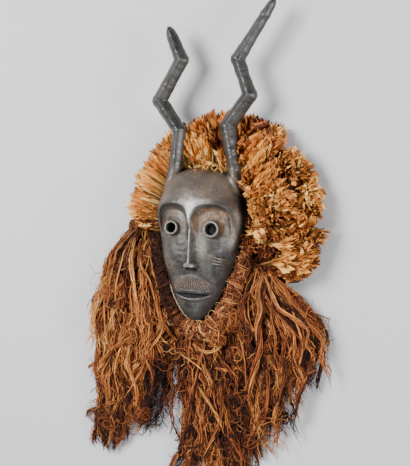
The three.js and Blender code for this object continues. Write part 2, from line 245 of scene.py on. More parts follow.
def turn_outwards(made: Object) -> None:
    """Turns all faces of a closed mesh round if they point inwards."""
    made.data.calc_loop_triangles()
    corners = np.array([[made.data.vertices[v].co for v in t.vertices] for t in made.data.loop_triangles])
    six_volumes = np.einsum("ij,ij->i", corners[:, 0], np.cross(corners[:, 1], corners[:, 2]))
    if six_volumes.sum() < 0:
        made.data.flip_normals()


def joined(name: str, base: Object, added: Sequence[Object], cut: Sequence[Object]) -> Object:
    """Joins and cuts closed solids.

    Args:
        name: The result's name.
        base: The solid that the others are added to and cut from.
        added: The solids that are added.
        cut: The solids that are taken away.

    Returns:
        The base object, with the result as its mesh. The others are removed.
    """
    for operation, tools in (("UNION", added), ("DIFFERENCE", cut)):
        for tool in tools:
            step = base.modifiers.new(tool.name, "BOOLEAN")
            step.operation = operation
            step.solver = "MANIFOLD"
            step.object = tool
    settle(base, name)
    for tool in (*added, *cut):
        bpy.data.objects.remove(tool)
    return base


def settle(made: Object, name: str) -> Object:
    """Turns an object's modifiers into its own plain mesh.

    Args:
        made: The object.
        name: The name that the object and its mesh get.

    Returns:
        The same object, without modifiers.
    """
    graph = bpy.context.evaluated_depsgraph_get()
    mesh = bpy.data.meshes.new_from_object(made.evaluated_get(graph), preserve_all_data_layers=True,
                                           depsgraph=graph)
    made.modifiers.clear()
    made.data = mesh
    made.name = name
    mesh.name = name
    return made


def places_of(mesh: Mesh) -> Array:
    """Returns a mesh's vertices in the mask's axes, in millimetres."""
    flat = np.empty(len(mesh.vertices) * 3, np.float32)
    mesh.vertices.foreach_get("co", flat)
    return (flat.reshape(-1, 3) - ORIGIN) / MM


def put_places(mesh: Mesh, places: Array) -> None:
    """Moves a mesh's vertices to places in the mask's axes, in millimetres."""
    mesh.vertices.foreach_set("co", to_frame(places).astype(np.float32).ravel())
    mesh.update()


def keep_on_ground(mesh: Mesh) -> None:
    """Lifts what dips into the ground up onto it."""
    places = places_of(mesh)
    places[:, 2] = np.maximum(places[:, 2], GROUND + STRIP_GAP)
    put_places(mesh, places)


def lean(mesh: Mesh) -> None:
    """Makes the left half of the lower face fuller, and leans the chin to the left."""
    places = places_of(mesh)
    x, y, _ = places.T
    places[:, 0] -= 5.0 * smooth(-8, -66, y) * mix(smooth(-8, -36, x), 1.0, 0.8 * smooth(-96, -140, y))
    put_places(mesh, places)


def store(mesh: Mesh, name: str, values: Array) -> None:
    """Keeps a number or a vector for each vertex as a named attribute.

    Args:
        mesh: The mesh.
        name: The attribute's name, which a material or a node tree reads.
        values: One number, or one row of three, for each vertex.
    """
    values = np.asarray(values, np.float32)
    kind, key = ("FLOAT", "value") if values.ndim == 1 else ("FLOAT_VECTOR", "vector")
    mesh.attributes.new(name, kind, "POINT").data.foreach_set(key, values.ravel())


# Node trees


def feed(tree: Tree, node: Node, inputs: dict) -> None:
    """Fills a node's inputs.

    Args:
        tree: The tree that the node is in.
        node: The node.
        inputs: What each input gets, by name or number: a value, or the socket that feeds it.
    """
    for key, value in inputs.items():
        if isinstance(value, Socket):
            tree.links.new(value, node.inputs[key])
        else:
            node.inputs[key].default_value = value


def add(tree: Tree, kind: str, inputs: Optional[dict] = None, **settings: Any) -> Node:
    """Adds a node with its settings and its links.

    Args:
        tree: The tree that the node goes into.
        kind: The node's type name.
        inputs: What each input gets, as feed takes it.
        **settings: The node's own settings.

    Returns:
        The node.
    """
    node = tree.nodes.new(kind)
    for name, value in settings.items():
        setattr(node, name, value)
    feed(tree, node, inputs or {})
    return node


def linear(code: str) -> tuple[float, float, float, float]:
    """Turns an sRGB hex code such as 8a6f5c into a linear colour."""
    parts = [int(code[i:i + 2], 16) / 255 for i in (0, 2, 4)]
    red, green, blue = [c / 12.92 if c <= 0.04045 else ((c + 0.055) / 1.055) ** 2.4 for c in parts]
    return red, green, blue, 1.0


def bare_material(name: str) -> tuple[Material, Tree, Node]:
    """Returns a new material, its node tree and its surface shader."""
    made = bpy.data.materials.new(name)
    made.use_nodes = True
    return made, made.node_tree, made.node_tree.nodes["Principled BSDF"]


def start_tree(name: str, inputs: dict) -> tuple[Tree, Node]:
    """Starts a geometry node tree with named inputs.

    Args:
        name: The tree's name.
        inputs: The socket type of each input that only this tree has, by name.

    Returns:
        The tree and its group input node.
    """
    tree = bpy.data.node_groups.new(name, "GeometryNodeTree")
    tree.interface.new_socket("Geometry", in_out="OUTPUT", socket_type="NodeSocketGeometry")
    shared = {"Seed": "Int", "Core": "Object", "Finish": "Material"}
    for label, kind in {"Geometry": "Geometry", **inputs, **shared}.items():
        tree.interface.new_socket(label, in_out="INPUT", socket_type=f"NodeSocket{kind}")
    return tree, add(tree, "NodeGroupInput")


def end_tree(tree: Tree, given: Node, grown: Socket, soft: bool) -> None:
    """Ends a tree: what it grew joins the core as one mesh and gets the finish.

    Args:
        tree: The tree.
        given: Its group input node.
        grown: What it grew.
        soft: Whether its faces are shaded smooth.
    """
    core = add(tree, "GeometryNodeObjectInfo", {"Object": given.outputs["Core"]})
    whole = add(tree, "GeometryNodeJoinGeometry", {0: core.outputs["Geometry"]})
    tree.links.new(grown, whole.inputs[0])
    shaded = add(tree, "GeometryNodeSetShadeSmooth", {"Geometry": whole.outputs[0], "Shade Smooth": soft})
    real = add(tree, "GeometryNodeRealizeInstances", {"Geometry": shaded.outputs[0]})
    dressed = add(tree, "GeometryNodeSetMaterial",
                  {"Geometry": real.outputs[0], "Material": given.outputs["Finish"]})
    add(tree, "NodeGroupOutput", {"Geometry": dressed.outputs[0]})


def grow(made: Object, tree: Tree, values: dict, name: str) -> Object:
    """Runs a geometry node tree on an object and keeps the result as its plain mesh.

    Args:
        made: The object that carries the tree's input.
        tree: The tree.
        values: What each named input gets.
        name: The finished piece's name.

    Returns:
        The same object, without modifiers.
    """
    step = made.modifiers.new(tree.name, "NODES")
    step.node_group = tree
    for item in tree.interface.items_tree:
        if item.in_out == "INPUT" and item.name in values:
            step[item.identifier] = values[item.name]
    return settle(made, name)


# Finishes


@dataclass(frozen=True)
class CarvedWood:
    """Hardwood carved with an adze and a knife, blackened and rubbed for years: a waxy gloss on what stands
    out, dull black grime and painted shade in what lies deep, brown dust on the forehead, pale worn edges and
    pale painted highlights on the brow, the right temple, the cheek and the nose wings."""

    patina: str = "1b1a18"
    worn: str = "4f4a44"
    dusty: str = "6d5846"
    rubbed: str = "9c7250"
    # pale, for worn edges, scratches and painted highlights
    edge: str = "b3aca1"
    # near-black for grimy patches, and for the painted shade that crevice lays into holes and grooves
    soot: str = "0c0a09"
    grain_mm: float = 1.8  # coarser than real grain, so that it shows in the render
    blotch_mm: float = 26.0
    stain_mm: float = 8.0
    scratch_mm: float = 4.0

    def material(self) -> Material:
        """Returns the finish, which reads the attributes ridge, crevice, dust, rub and matt."""
        made, tree, shader = bare_material("blackened carved hardwood, waxed and worn")
        place = add(tree, "ShaderNodeTexCoord").outputs["Object"]
        values = {name: add(tree, "ShaderNodeAttribute", attribute_name=name).outputs["Fac"]
                  for name in ("ridge", "crevice", "dust", "rub", "matt")}
        for name, size_mm, stretch, detail in (
                ("blotch", self.blotch_mm, (1.0, 0.7, 1.0), 6.0),
                ("grain", self.grain_mm, (1.0, 0.12, 1.0), 5.0),
                ("scratch", self.scratch_mm, (0.35, 1.6, 1.0), 4.0),
                ("stain", self.stain_mm, (1.0, 1.0, 1.0), 5.0)):
            seat = add(tree, "ShaderNodeMapping", {"Vector": place, "Scale": stretch})
            noise = add(tree, "ShaderNodeTexNoise", {"Vector": seat.outputs[0], "Scale": 1 / (size_mm * MM),
                                                     "Detail": detail, "Roughness": 0.65})
            values[name] = noise.outputs["Fac"]
        for name, source, low, high, at_low, at_high in (
                ("streak", "grain", 0.3, 0.75, 0.5, 1.3),
                ("worn patches", "blotch", 0.38, 0.66, 0.0, 1.0),
                ("soot patches", "stain", 0.42, 0.3, 0.0, 0.55),
                ("dusty patches", "stain", 0.56, 0.72, 0.0, 0.45),
                ("uneven dust", "blotch", 0.3, 0.6, 0.35, 1.0),
                ("uneven rub", "stain", 0.36, 0.62, 0.15, 1.0),
                ("uneven edge", "scratch", 0.3, 0.6, 0.5, 1.2),
                ("pale scratches", "scratch", 0.62, 0.76, 0.0, 0.36),
                ("dull blotches", "blotch", 0.35, 0.7, 0.29, 0.42),
                ("dull crevices", "crevice", 0.0, 1.0, 0.0, 0.4),
                ("dull stains", "stain", 0.35, 0.65, -0.05, 0.14),
                ("dull matt", "matt", -1.0, 1.0, -0.3, 0.3),
                ("deep stains", "stain", 0.2, 0.8, 0.0, 1.6)):
            values[name] = add(tree, "ShaderNodeMapRange", {
                "Value": values[source], "From Min": low, "From Max": high, "To Min": at_low,
                "To Max": at_high}).outputs[0]
        colour: Any = linear(self.patina)
        for top, shares in (
                (self.worn, ("worn patches",)),
                (self.soot, ("soot patches",)),
                (self.dusty, ("dusty patches",)),
                (self.dusty, ("uneven dust", "dust")),
                (self.rubbed, ("uneven rub", "streak", "rub")),
                # ridge lays the pale edge colour on worn edges and on painted highlights
                (self.edge, ("uneven edge", "ridge")),
                (self.edge, ("pale scratches",))):
            share = values[shares[0]]
            for name in shares[1:]:
                share = add(tree, "ShaderNodeMath", {0: share, 1: values[name]}, operation="MULTIPLY",
                            use_clamp=True).outputs[0]
            colour = add(tree, "ShaderNodeMix", {"Factor": share, 6: colour, 7: linear(top)},
                         data_type="RGBA").outputs[2]
        colour = add(tree, "ShaderNodeMix", {"Factor": 1.0, 6: colour, 7: values["streak"]}, data_type="RGBA",
                     blend_type="MULTIPLY").outputs[2]
        # crevice lays the near-black in: grime and painted shade in holes, slots and grooves
        colour = add(tree, "ShaderNodeMix", {"Factor": values["crevice"], 6: colour, 7: linear(self.soot)},
                     data_type="RGBA").outputs[2]
        dull, relief = values["dull blotches"], values["grain"]
        for name in ("dull crevices", "dull stains", "dull matt"):
            dull = add(tree, "ShaderNodeMath", {0: dull, 1: values[name]}, use_clamp=True).outputs[0]
        for name in ("scratch", "deep stains"):
            relief = add(tree, "ShaderNodeMath", {0: relief, 1: values[name]}).outputs[0]
        bump = add(tree, "ShaderNodeBump", {"Height": relief, "Strength": 0.55, "Distance": 0.5 * MM})
        feed(tree, shader, {"Base Color": colour, "Roughness": dull, "Normal": bump.outputs[0], "IOR": 1.5,
                            "Specular IOR Level": 0.7, "Coat Weight": 0.3, "Coat Roughness": 0.3})
        return made


@dataclass(frozen=True)
class PlantFibre:
    """Dry plant fibre, cut or shredded: matt with a little sheen, darkened towards its roots as painted
    shade, and streaked along its length. The tone attribute picks each fibre's colour and reach is 0 at its
    root."""

    name: str
    colours: tuple[str, ...]  # from the darkest tone to the palest
    root: float  # how bright a fibre is at its root, as a share of its own colour: painted shade
    dark_to: float = 0.55  # the share of its length up to which a fibre is darkened by painted shade towards its root
    roughness: float = 0.68
    streak: float = 0.25

    def material(self) -> Material:
        """Returns the finish, which reads the attributes tone, reach and across."""
        made, tree, shader = bare_material(self.name)
        tone, reach, across = (add(tree, "ShaderNodeAttribute", attribute_name=name).outputs["Fac"]
                               for name in ("tone", "reach", "across"))
        ramp = add(tree, "ShaderNodeValToRGB", {"Fac": tone})
        stops = ramp.color_ramp.elements
        for i, code in enumerate(self.colours):
            place = i / (len(self.colours) - 1)
            stop = stops[0] if i == 0 else stops[-1] if place == 1 else stops.new(place)
            stop.position = place
            stop.color = linear(code)
        seat = add(tree, "ShaderNodeCombineXYZ", {"X": across, "Y": reach, "Z": tone})
        drawn_out = add(tree, "ShaderNodeMapping", {"Vector": seat.outputs[0], "Scale": (2.4, 1.3, 90.0)})
        fleck = add(tree, "ShaderNodeTexNoise",
                    {"Vector": drawn_out.outputs[0], "Scale": 1.0, "Detail": 3.0}).outputs["Fac"]
        # shade streaks each fibre along its length; depth is painted shade, darkest at the fibre's root
        shade, depth = (add(tree, "ShaderNodeMapRange", {"Value": value, "From Min": low, "From Max": high,
                                                         "To Min": at_low, "To Max": at_high}).outputs[0]
                        for value, low, high, at_low, at_high in (
                            (fleck, 0.25, 0.75, 1 - self.streak, 1 + self.streak),
                            (reach, 0.0, self.dark_to, self.root, 1.0)))
        both = add(tree, "ShaderNodeMath", {0: shade, 1: depth}, operation="MULTIPLY").outputs[0]
        colour = add(tree, "ShaderNodeMix", {"Factor": 1.0, 6: ramp.outputs["Color"], 7: both},
                     data_type="RGBA", blend_type="MULTIPLY")
        bump = add(tree, "ShaderNodeBump", {"Height": fleck, "Strength": 0.3, "Distance": 0.3 * MM})
        feed(tree, shader, {"Base Color": colour.outputs[2], "Normal": bump.outputs[0],
                            "Roughness": self.roughness, "Specular IOR Level": 0.24})
        return made


class Fibre(Enum):
    """The plant fibres of the mask, each with its finish."""

    RAFFIA = PlantFibre("cut raffia, dried", ("240c05", "7c3c1c", "cc7f40", "eeab52", "f8ce7e"), 0.06, 0.8)
    HAIR = PlantFibre("bast fibre, shredded", ("160805", "4c2312", "a0542a", "d58a46", "efb068"), 0.5)
    BAND = PlantFibre("bast cord, plaited", ("200d07", "542914", "8d4d2a", "c08048", "e8ba80"), 0.8)
    CORD = PlantFibre("vegetable cord, twisted", ("5c4636", "8d7560", "b59b80", "cdb89c"), 0.9)


# The carved face


@dataclass(frozen=True)
class FaceShape:
    """The carved face's driving dimensions, in millimetres, and its heights."""

    top: float = 99.0
    chin: float = -147.0
    wall: float = 9.0  # how thick the hollowed wood is
    half_widths: Table = ((-147, 40), (-114, 47), (-77, 52), (-33, 63), (16, 77), (55, 88.7), (82, 103),
                          (99, 121))
    face_heights: Table = ((-147, 58), (-120, 52), (-100, 49.7), (-75, 47.3), (-55, 49.6), (0, 55), (20, 58),
                           (99, 60))
    brow_heights: Table = ((-60, 32), (-38, 37), (-20, 44), (-8, 54), (4, 67), (16, 76), (25, 77.5), (40, 81),
                           (55, 84.5), (72, 90), (99, 103))
    eye_x: float = 33.0
    eye_y: float = 1.0
    eye_sizes: tuple[float, float] = (0.95, 1.13)
    socket_half: float = 33.0
    socket_rise: float = 39.0
    socket_lean: float = math.tan(math.radians(20))
    socket_walls: Table = ((0.6, -60), (0.7, 34), (0.8, 49), (1.0, 64), (1.1, 95), (1.4, 300))
    nose_top: float = 26.0
    nose_tip: float = -57.0
    nose_under: float = -62.0
    nose_ridge: float = 67.5
    mouth_y: float = -101.0
    mouth_half: float = 27.0
    mouth_bow: float = 7.0  # how far the lower lip hangs at its middle
    lip: float = 3.4
    moustache_half: float = 30.0
    moustache_rise: float = 24.0
    comb_y: float = -50.0  # the level from which the moustache's grooves fan out
    comb_reach: float = 46.0
    comb_pitch: float = 4.2

    @property
    def middle(self) -> float:
        """The level halfway between chin and crown."""
        return (self.top + self.chin) / 2

    @property
    def half(self) -> float:
        """Half the face's length."""
        return (self.top - self.chin) / 2

    def ellipse(self, y: Array, inset: float = 0.0) -> Array:
        """Returns the share of the full breadth and height that the face has at a level."""
        return np.sqrt(np.clip(1 - ((y - self.middle) / (self.half - inset)) ** 2, 0, 1))

    def half_width(self, y: Array, inset: float = 0.0) -> Array:
        """Returns half the face's width at a level, smaller by an inset all round."""
        return self.ellipse(y, inset) * (along(self.half_widths, y) - inset)

    def squareness(self, y: Array) -> Array:
        """Returns how square the face's cross-section is at a level: 2 would be an ellipse."""
        return mix(2.7, 2.15, smooth(-60, 10, y))

    def crown(self, share: Array, y: Array) -> Array:
        """Returns the share of the full height at a share of the half width."""
        squareness = self.squareness(y) + 0.7 * bell(y, 32, 16)
        return np.sqrt(np.clip(1 - np.abs(share) ** squareness, 0, 1))

    def dome(self, heights: Table, share: Array, y: Array, inset: float = 0.0) -> Array:
        """Returns the height of half an egg over the rim, whose heights come from a table by level."""
        return self.ellipse(y, inset) * self.crown(share, y) * (along(heights, y) - inset)

    def face(self, x: Array, y: Array) -> Array:
        """Returns the height of the plain face at a place."""
        return self.dome(self.face_heights, x / np.maximum(self.half_width(y), 1e-6), y)

    def rim_point(self, turn: Array, distance: Array) -> Array:
        """Returns a place on the rim's outline, out from it by a distance.

        Args:
            turn: Degrees round the rim, 0 at the right ear, 90 at the crown and -90 at the chin.
            distance: How far out from the rim.

        Returns:
            The places as x and y.
        """
        turn = np.asarray(turn, float)
        left = turn > 90
        folded = np.clip(np.where(left, 180 - turn, turn), -89.4, 89.4)

        def place(angle: Array) -> Array:
            """Returns the places on the outline's right half at these angles."""
            y = self.middle + self.half * np.sin(np.radians(angle))
            return np.stack([self.half_width(y), y], -1)

        ahead = unit(place(folded + 0.5) - place(folded - 0.5))
        out = np.stack([ahead[..., 1], -ahead[..., 0]], -1)
        point = place(folded) + out * np.asarray(distance, float)[..., None]
        point[..., 0] = np.where(left, -point[..., 0], point[..., 0])
        return point

    def sockets(self, x: Array, y: Array) -> tuple[Array, Array]:
        """Returns the height that the eye sockets' walls have, and how far out in its socket a place is."""
        out = np.abs(x) - self.eye_x
        reach = (np.abs(out / self.socket_half) ** 3 + np.abs(y / self.socket_rise) ** 3) ** (1 / 3)
        places, walls = np.asarray(self.socket_walls).T
        return np.interp(reach, places, walls) - self.socket_lean * out, reach

    def nose(self, x: Array, y: Array) -> Array:
        """Shapes the nose: a sharp ridge with hollow flanks that ends in small wings.

        Args:
            x: Places across the face.
            y: Their levels.

        Returns:
            Its height there, and far less beside it.
        """
        wing = smooth(-48, -55, y)
        half = mix(7.0, 11.6, wing) * mix(0.6, 1.0, smooth(self.nose_top, -12, y))
        foot = self.face(half, y) - 3
        away = np.sqrt(x**2 + 0.5) / half
        slope = mix(np.clip(1 - away, 0, 1) ** 1.4, np.clip(1 - away**4, 0, 1) ** 0.7 * 0.86, wing)
        tip = smooth(self.nose_under, self.nose_tip - 2, y)
        top = self.nose_ridge - 1.5 * smooth(-20, 20, y)
        between = self.ellipse(y) * along(self.brow_heights, y) + 1.4
        top = np.where((y > 0) & (y < 30), np.maximum(top, between), top)
        return np.where((away < 1) & (y < 38), foot + (top - foot) * slope * tip, NOWHERE)

    def lips(self, x: Array, y: Array) -> Array:
        """Shapes the lips and the mouth between them.

        Args:
            x: Places across the face.
            y: Their levels.

        Returns:
            How far they stand out there, below 0 in the mouth.
        """
        share = np.clip(x / (self.mouth_half + 1), -1, 1)
        arch = 1 - share**2
        thick = self.lip * mix(0.4, 1.0, np.sqrt(arch))
        rise = np.zeros_like(x)
        for level, bow in ((self.mouth_y + self.lip, 0.0), (self.mouth_y - self.lip, self.mouth_bow)):
            off = np.abs(y - (level - bow * arch)) / thick
            round_lip = 0.75 * thick * (np.sqrt(np.clip(1 - off**2, 0, 1)) - 0.1)
            rise = np.maximum(rise, np.where(np.abs(x) <= self.mouth_half + 1, round_lip, 0))
        slot_low = self.mouth_y - self.mouth_bow * arch
        inside = np.minimum(y - slot_low, self.mouth_y - y)
        depth = smooth(-0.6, 1.6, inside) * (np.abs(x) < self.mouth_half)
        return mix(rise, -8.2, depth)

    def moustache(self, x: Array, y: Array) -> Array:
        """Shapes the combed moustache, with its fine grooves.

        Args:
            x: Places across the face.
            y: Their levels.

        Returns:
            How far it stands out there.
        """
        across = np.clip(1 - (x / self.moustache_half) ** 2, 0, 1)
        foot = self.mouth_y + 5.0
        edge = foot + self.moustache_rise * across**0.4
        inside = np.minimum(np.minimum(edge - y, y - foot), (self.moustache_half - np.abs(x)) * 0.8)
        return smooth(-2.5, 5.0, inside) * 1.7 - self.combing(x, y) * smooth(0.0, 3.0, inside)

    def combing(self, x: Array, y: Array) -> Array:
        """Returns the depth of the grooves that fan out from under the nose."""
        fan = np.arctan2(x, self.comb_y - y) * self.comb_reach
        return 0.9 * (0.5 - 0.5 * np.cos(fan * 2 * math.pi / self.comb_pitch)) ** 2

    def marks(self, x: Array, y: Array) -> Array:
        """Cuts the whiskers into both cheeks.

        Args:
            x: Places across the face.
            y: Their levels.

        Returns:
            How deep they are there.
        """
        depth = np.zeros_like(x)
        for side in (-1, 1):
            out = side * x
            for k in range(4):
                fall = mix(-0.3, -0.14, k / 3) if side > 0 else 0.75
                line = mix(-43.5, -57.5, k / 3) + (out - 42) * fall
                start = mix(18, 37, k / 3) if side > 0 else 26
                ends = smooth(start - 2, start + 3, out) * smooth(60, 56, out)
                depth = np.maximum(depth, bell(y, line, 0.8) * ends)
        return 0.8 * depth


@dataclass(frozen=True)
class Horn:
    """A zigzag horn: its stops give x, y and full width, and it tapers to a blunt tip."""

    stops: Table
    level: float = 15.0  # its middle line over the rim's back
    sides: int = 28
    spacing: float = 1.6
    softness: float = 1.15  # how far each bend is rounded
    squareness: float = 1.4  # 2 would be round, and less gives it edges

    def path(self) -> tuple[Array, Array]:
        """Returns the middle line's points and the widths there, softened at the bends."""
        stops = np.asarray(self.stops, float)
        lengths = run_of(stops)
        count = int(lengths[-1] / self.spacing)
        reach = np.linspace(0, lengths[-1], count)
        kernel = np.exp(-0.5 * (np.arange(-8, 9) * self.spacing / self.softness) ** 2)
        kernel /= kernel.sum()
        line = []
        for column in (0, 1):
            raw = np.interp(reach, lengths, stops[:, column])
            ahead = 2 * raw[-1] - raw[-2:-10:-1]
            behind = 2 * raw[0] - raw[8:0:-1]
            line.append(np.convolve(np.concatenate([behind, raw, ahead]), kernel, mode="valid"))
        widths = along(np.column_stack([lengths, stops[:, 2]]), reach)
        return np.column_stack([*line, np.full(count, self.level)]), widths

    def build(self, name: str) -> Object:
        """Makes the horn.

        Args:
            name: The object's name.

        Returns:
            The horn as a closed solid, with slight dents.
        """
        line, widths = self.path()
        ahead = unit(np.gradient(line, axis=0))
        side = np.stack([ahead[:, 1], -ahead[:, 0], np.zeros(len(line))], -1)
        angle = np.linspace(0, 2 * math.pi, self.sides, endpoint=False)
        power = self.squareness
        keel = (np.abs(np.cos(angle)) ** power + np.abs(np.sin(angle)) ** power) ** (-1 / power)
        turn = np.cos(angle)[None, :, None] * side[:, None, :]
        turn[..., 2] += np.sin(angle)
        swell = 1 + 0.4 * np.linalg.norm(np.gradient(ahead, axis=0), axis=1)
        rng = np.random.default_rng(self.sides + int(widths[0]))
        dents = np.convolve(rng.normal(0, 0.05, len(line) + 4), np.full(5, 0.2), mode="valid")
        radius = (widths * (swell + dents) / 2)[:, None] * keel[None, :]
        return loft(name, line[:, None, :] + turn * radius[..., None])

    def height(self, x: Array, y: Array) -> Array:
        """Finds the horn's front near its root.

        Args:
            x: Places across the face.
            y: Their levels.

        Returns:
            Its height there, and far less beside it.
        """
        line, widths = self.path()
        out = np.full_like(x, NOWHERE)
        for point, width in zip(line[:30:2], widths[:30:2]):
            away = np.hypot(x - point[0], y - point[1])
            round_top = point[2] + np.sqrt(np.clip((width / 2) ** 2 - away**2, 0, None))
            out = np.maximum(out, np.where(away > width / 2, NOWHERE, round_top))
        return out


LEFT_HORN = Horn(((-51, 62, 29), (-50, 82, 25), (-48, 96, 23), (-44, 157, 23.5), (-80, 204.5, 24.5),
                  (-46, 269.5, 23.5), (-59, 297, 21.5), (-67.5, 315, 16.5), (-71, 323, 7)))
RIGHT_HORN = Horn(((54, 62, 30), (54.5, 84, 27), (52.5, 99, 25), (37, 164, 25.5), (71.5, 214, 24),
                   (60, 243, 21.5), (49, 271, 23.5), (68, 302.5, 20.5), (87, 334, 18.5), (98, 352.5, 15.5),
                   (102, 359.5, 12), (104.5, 364, 6)))


@dataclass
class CarvedMask:
    """The face and both horns, carved from one block and hollowed behind."""

    shape: FaceShape = FaceShape()
    finish: CarvedWood = CarvedWood()
    rows: int = 270
    columns: int = 196
    eye_profile: Table = ((14.8, 30), (14.4, 45), (13.2, 49), (12.1, 53), (11.5, 57), (11.3, 59.0),
                          (10.8, 59.9), (10.0, 60.3), (9.2, 59.9), (8.3, 58.8), (7.8, 57.2))
    eye_hole: float = 7.8
    nostril_profile: Table = ((1.0, 42.5), (2.3, 45), (2.8, 52), (2.8, 61), (1.6, 66))
    nostril_x: float = 5.2
    nostril_y: float = -63.2
    nostril_stretch: float = 1.7

    def shell(self, name: str, rows: int, columns: int, inset: float) -> Object:
        """Makes a closed half egg over the rim: carved outside, or plain and smaller by an inset.

        Args:
            name: The object's name.
            rows: How many levels it has from chin to crown.
            columns: How many points it has from side to side.
            inset: How much smaller it is all round. Without one it carries the carving.

        Returns:
            The object. The plain one reaches below the rim, so that it cuts the rim open.
        """
        shape = self.shape
        even = np.linspace(-1, 1, rows)
        level = mix(even, np.sin(even * math.pi / 2), 0.4) * 0.9995
        y = shape.middle + (shape.half - inset) * level[:, None]
        share = -np.cos(math.pi * np.linspace(0, 1, columns))[None, :]
        x = share * shape.half_width(y, inset)
        y = np.broadcast_to(y, x.shape)
        z = shape.dome(shape.face_heights, share, y, inset) if inset else self.front(x, y, share)
        top = np.stack([x, y, z], -1)
        return loft(name, footed(top, -5.0 if inset else 0.0))

    def front(self, x: Array, y: Array, share: Array) -> Array:
        """Shapes the carved front.

        Args:
            x: Places across the face.
            y: Their levels.
            share: The share of the half width at which each lies.

        Returns:
            Its height there.
        """
        shape = self.shape
        skin = shape.dome(shape.face_heights, share, y)
        brow = shape.dome(shape.brow_heights, share, y)
        walls, reach = shape.sockets(x, y)
        carved = blended_max(skin, blended_min(brow, walls, 2.5), 9.0)
        eye = np.hypot(np.abs(x) - shape.eye_x, y - shape.eye_y)
        carved = carved + 0.45 * bell(eye, 18.5, 1.2) * smooth(1.02, 0.9, reach) * smooth(-4, 8, y)
        carved = blended_max(carved, shape.nose(x, y), 1.2)
        edge = smooth(0.0, 12.0, carved)
        carved = carved + edge * (shape.lips(x, y) + shape.moustache(x, y) - shape.marks(x, y))
        for horn in (LEFT_HORN, RIGHT_HORN):
            carved = np.where(y > 40, blended_max(carved, horn.height(x, y), 5.0), carved)
        return np.maximum(carved + edge * self.tool_marks(x, y), 0.0)

    def tool_marks(self, x: Array, y: Array) -> Array:
        """Shapes the faint facets that the knife left.

        Args:
            x: Places across the face.
            y: Their levels.

        Returns:
            How far they stand out there.
        """
        rng = np.random.default_rng(3)
        marks = np.zeros_like(x)
        for _ in range(14):
            angle, wave = rng.uniform(0, math.pi), rng.uniform(7, 22)
            place = x * np.cos(angle) + y * np.sin(angle)
            marks += np.sin(place * 2 * math.pi / wave + rng.uniform(0, 6)) * wave
        return marks * 0.0034

    def turned(self, name: str, profile: Table, place: tuple[float, float], sides: int = 48,
               stretch: float = 1.0) -> Object:
        """Makes a solid that is turned on an upright axis.

        Args:
            name: The object's name.
            profile: Its radii and heights.
            place: Where its axis stands.
            sides: How many points each ring has.
            stretch: How much wider than a circle it is.

        Returns:
            The object.
        """
        angle = np.linspace(0, 2 * math.pi, sides, endpoint=False)
        rings = [np.stack([place[0] + stretch * radius * np.cos(angle), place[1] + radius * np.sin(angle),
                           np.full(sides, height)], -1) for radius, height in profile]
        return loft(name, np.array(rings))

    def build(self) -> Object:
        """Returns the finished carving."""
        shape = self.shape
        sides = (("left", -1, shape.eye_sizes[0]), ("right", 1, shape.eye_sizes[1]))
        added = [LEFT_HORN.build("horn_left"), RIGHT_HORN.build("horn_right")]
        for side, sign, size in sides:
            profile = [(radius * size, height) for radius, height in self.eye_profile]
            added.append(self.turned(f"eye_{side}", profile, (sign * shape.eye_x, shape.eye_y)))
        cut = [self.shell("hollow", 60, 48, shape.wall)]
        for side, sign, size in sides:
            bore = ((self.eye_hole * size, -20), (self.eye_hole * size, 90))
            cut.append(self.turned(f"hole_{side}", bore, (sign * shape.eye_x, shape.eye_y)))
        for side, sign, _ in sides:
            cut.append(self.turned(f"nostril_{side}", self.nostril_profile,
                                   (sign * self.nostril_x, self.nostril_y), 20, self.nostril_stretch))
        made = joined("carved_wood", self.shell("carved_face", self.rows, self.columns, 0.0), added, cut)
        made.data.shade_smooth()
        made.data.set_sharp_from_angle(angle=math.radians(42))
        self.wear(made.data)
        lean(made.data)
        made.data.materials.clear()
        made.data.materials.append(self.finish.material())
        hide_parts("carved_mask")
        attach(made, "root")
        return made

    def bend(self, mesh: Mesh, places: Array) -> Array:
        """Works out how the carving bends at each vertex, from its distance to its neighbours' middle.

        Args:
            mesh: The carving.
            places: Its vertices, in the mask's axes.

        Returns:
            The bend of each vertex: above 0 on an edge and below 0 in a groove.
        """
        ends = np.empty(len(mesh.edges) * 2, np.int32)
        mesh.edges.foreach_get("vertices", ends)
        ends = ends.reshape(-1, 2)
        here, there = np.concatenate([ends, ends[:, ::-1]]).T
        degree = np.maximum(np.bincount(here, minlength=len(places)), 1)
        normals = np.empty(len(places) * 3, np.float32)
        mesh.vertices.foreach_get("normal", normals)

        def spread(values: Array) -> Array:
            """Returns the mean of each vertex's neighbours."""
            return np.bincount(here, values[there], len(places)) / degree

        mean = np.stack([spread(places[:, k]) for k in range(3)], -1)
        gap = np.linalg.norm(places[here] - places[there], axis=1)
        size = np.bincount(here, gap, len(places)) / degree
        bend = np.einsum("ij,ij->i", places - mean, normals.reshape(-1, 3)) / np.maximum(size, 0.3) ** 1.5
        for _ in range(2):
            bend = mix(bend, spread(bend), 0.5)
        broad = bend
        for _ in range(9):
            broad = spread(broad)
        return mix(bend, 2.2 * (bend - broad), smooth(92, 104, places[:, 1]))

    def wear(self, mesh: Mesh) -> None:
        """Stores wear and painted highlight, depth and painted shade, rub, dust and mattness for each place.

        Args:
            mesh: The carving, which gets the attributes.
        """
        shape = self.shape
        places = places_of(mesh)
        bend = self.bend(mesh, places)
        x, y, z = places.T
        front = z > 25
        reach = shape.sockets(x, y)[1]
        eye = np.hypot(np.abs(x) - shape.eye_x, y - shape.eye_y) / np.where(x < 0, *shape.eye_sizes)
        moustache, marks = shape.moustache(x, y), shape.marks(x, y)

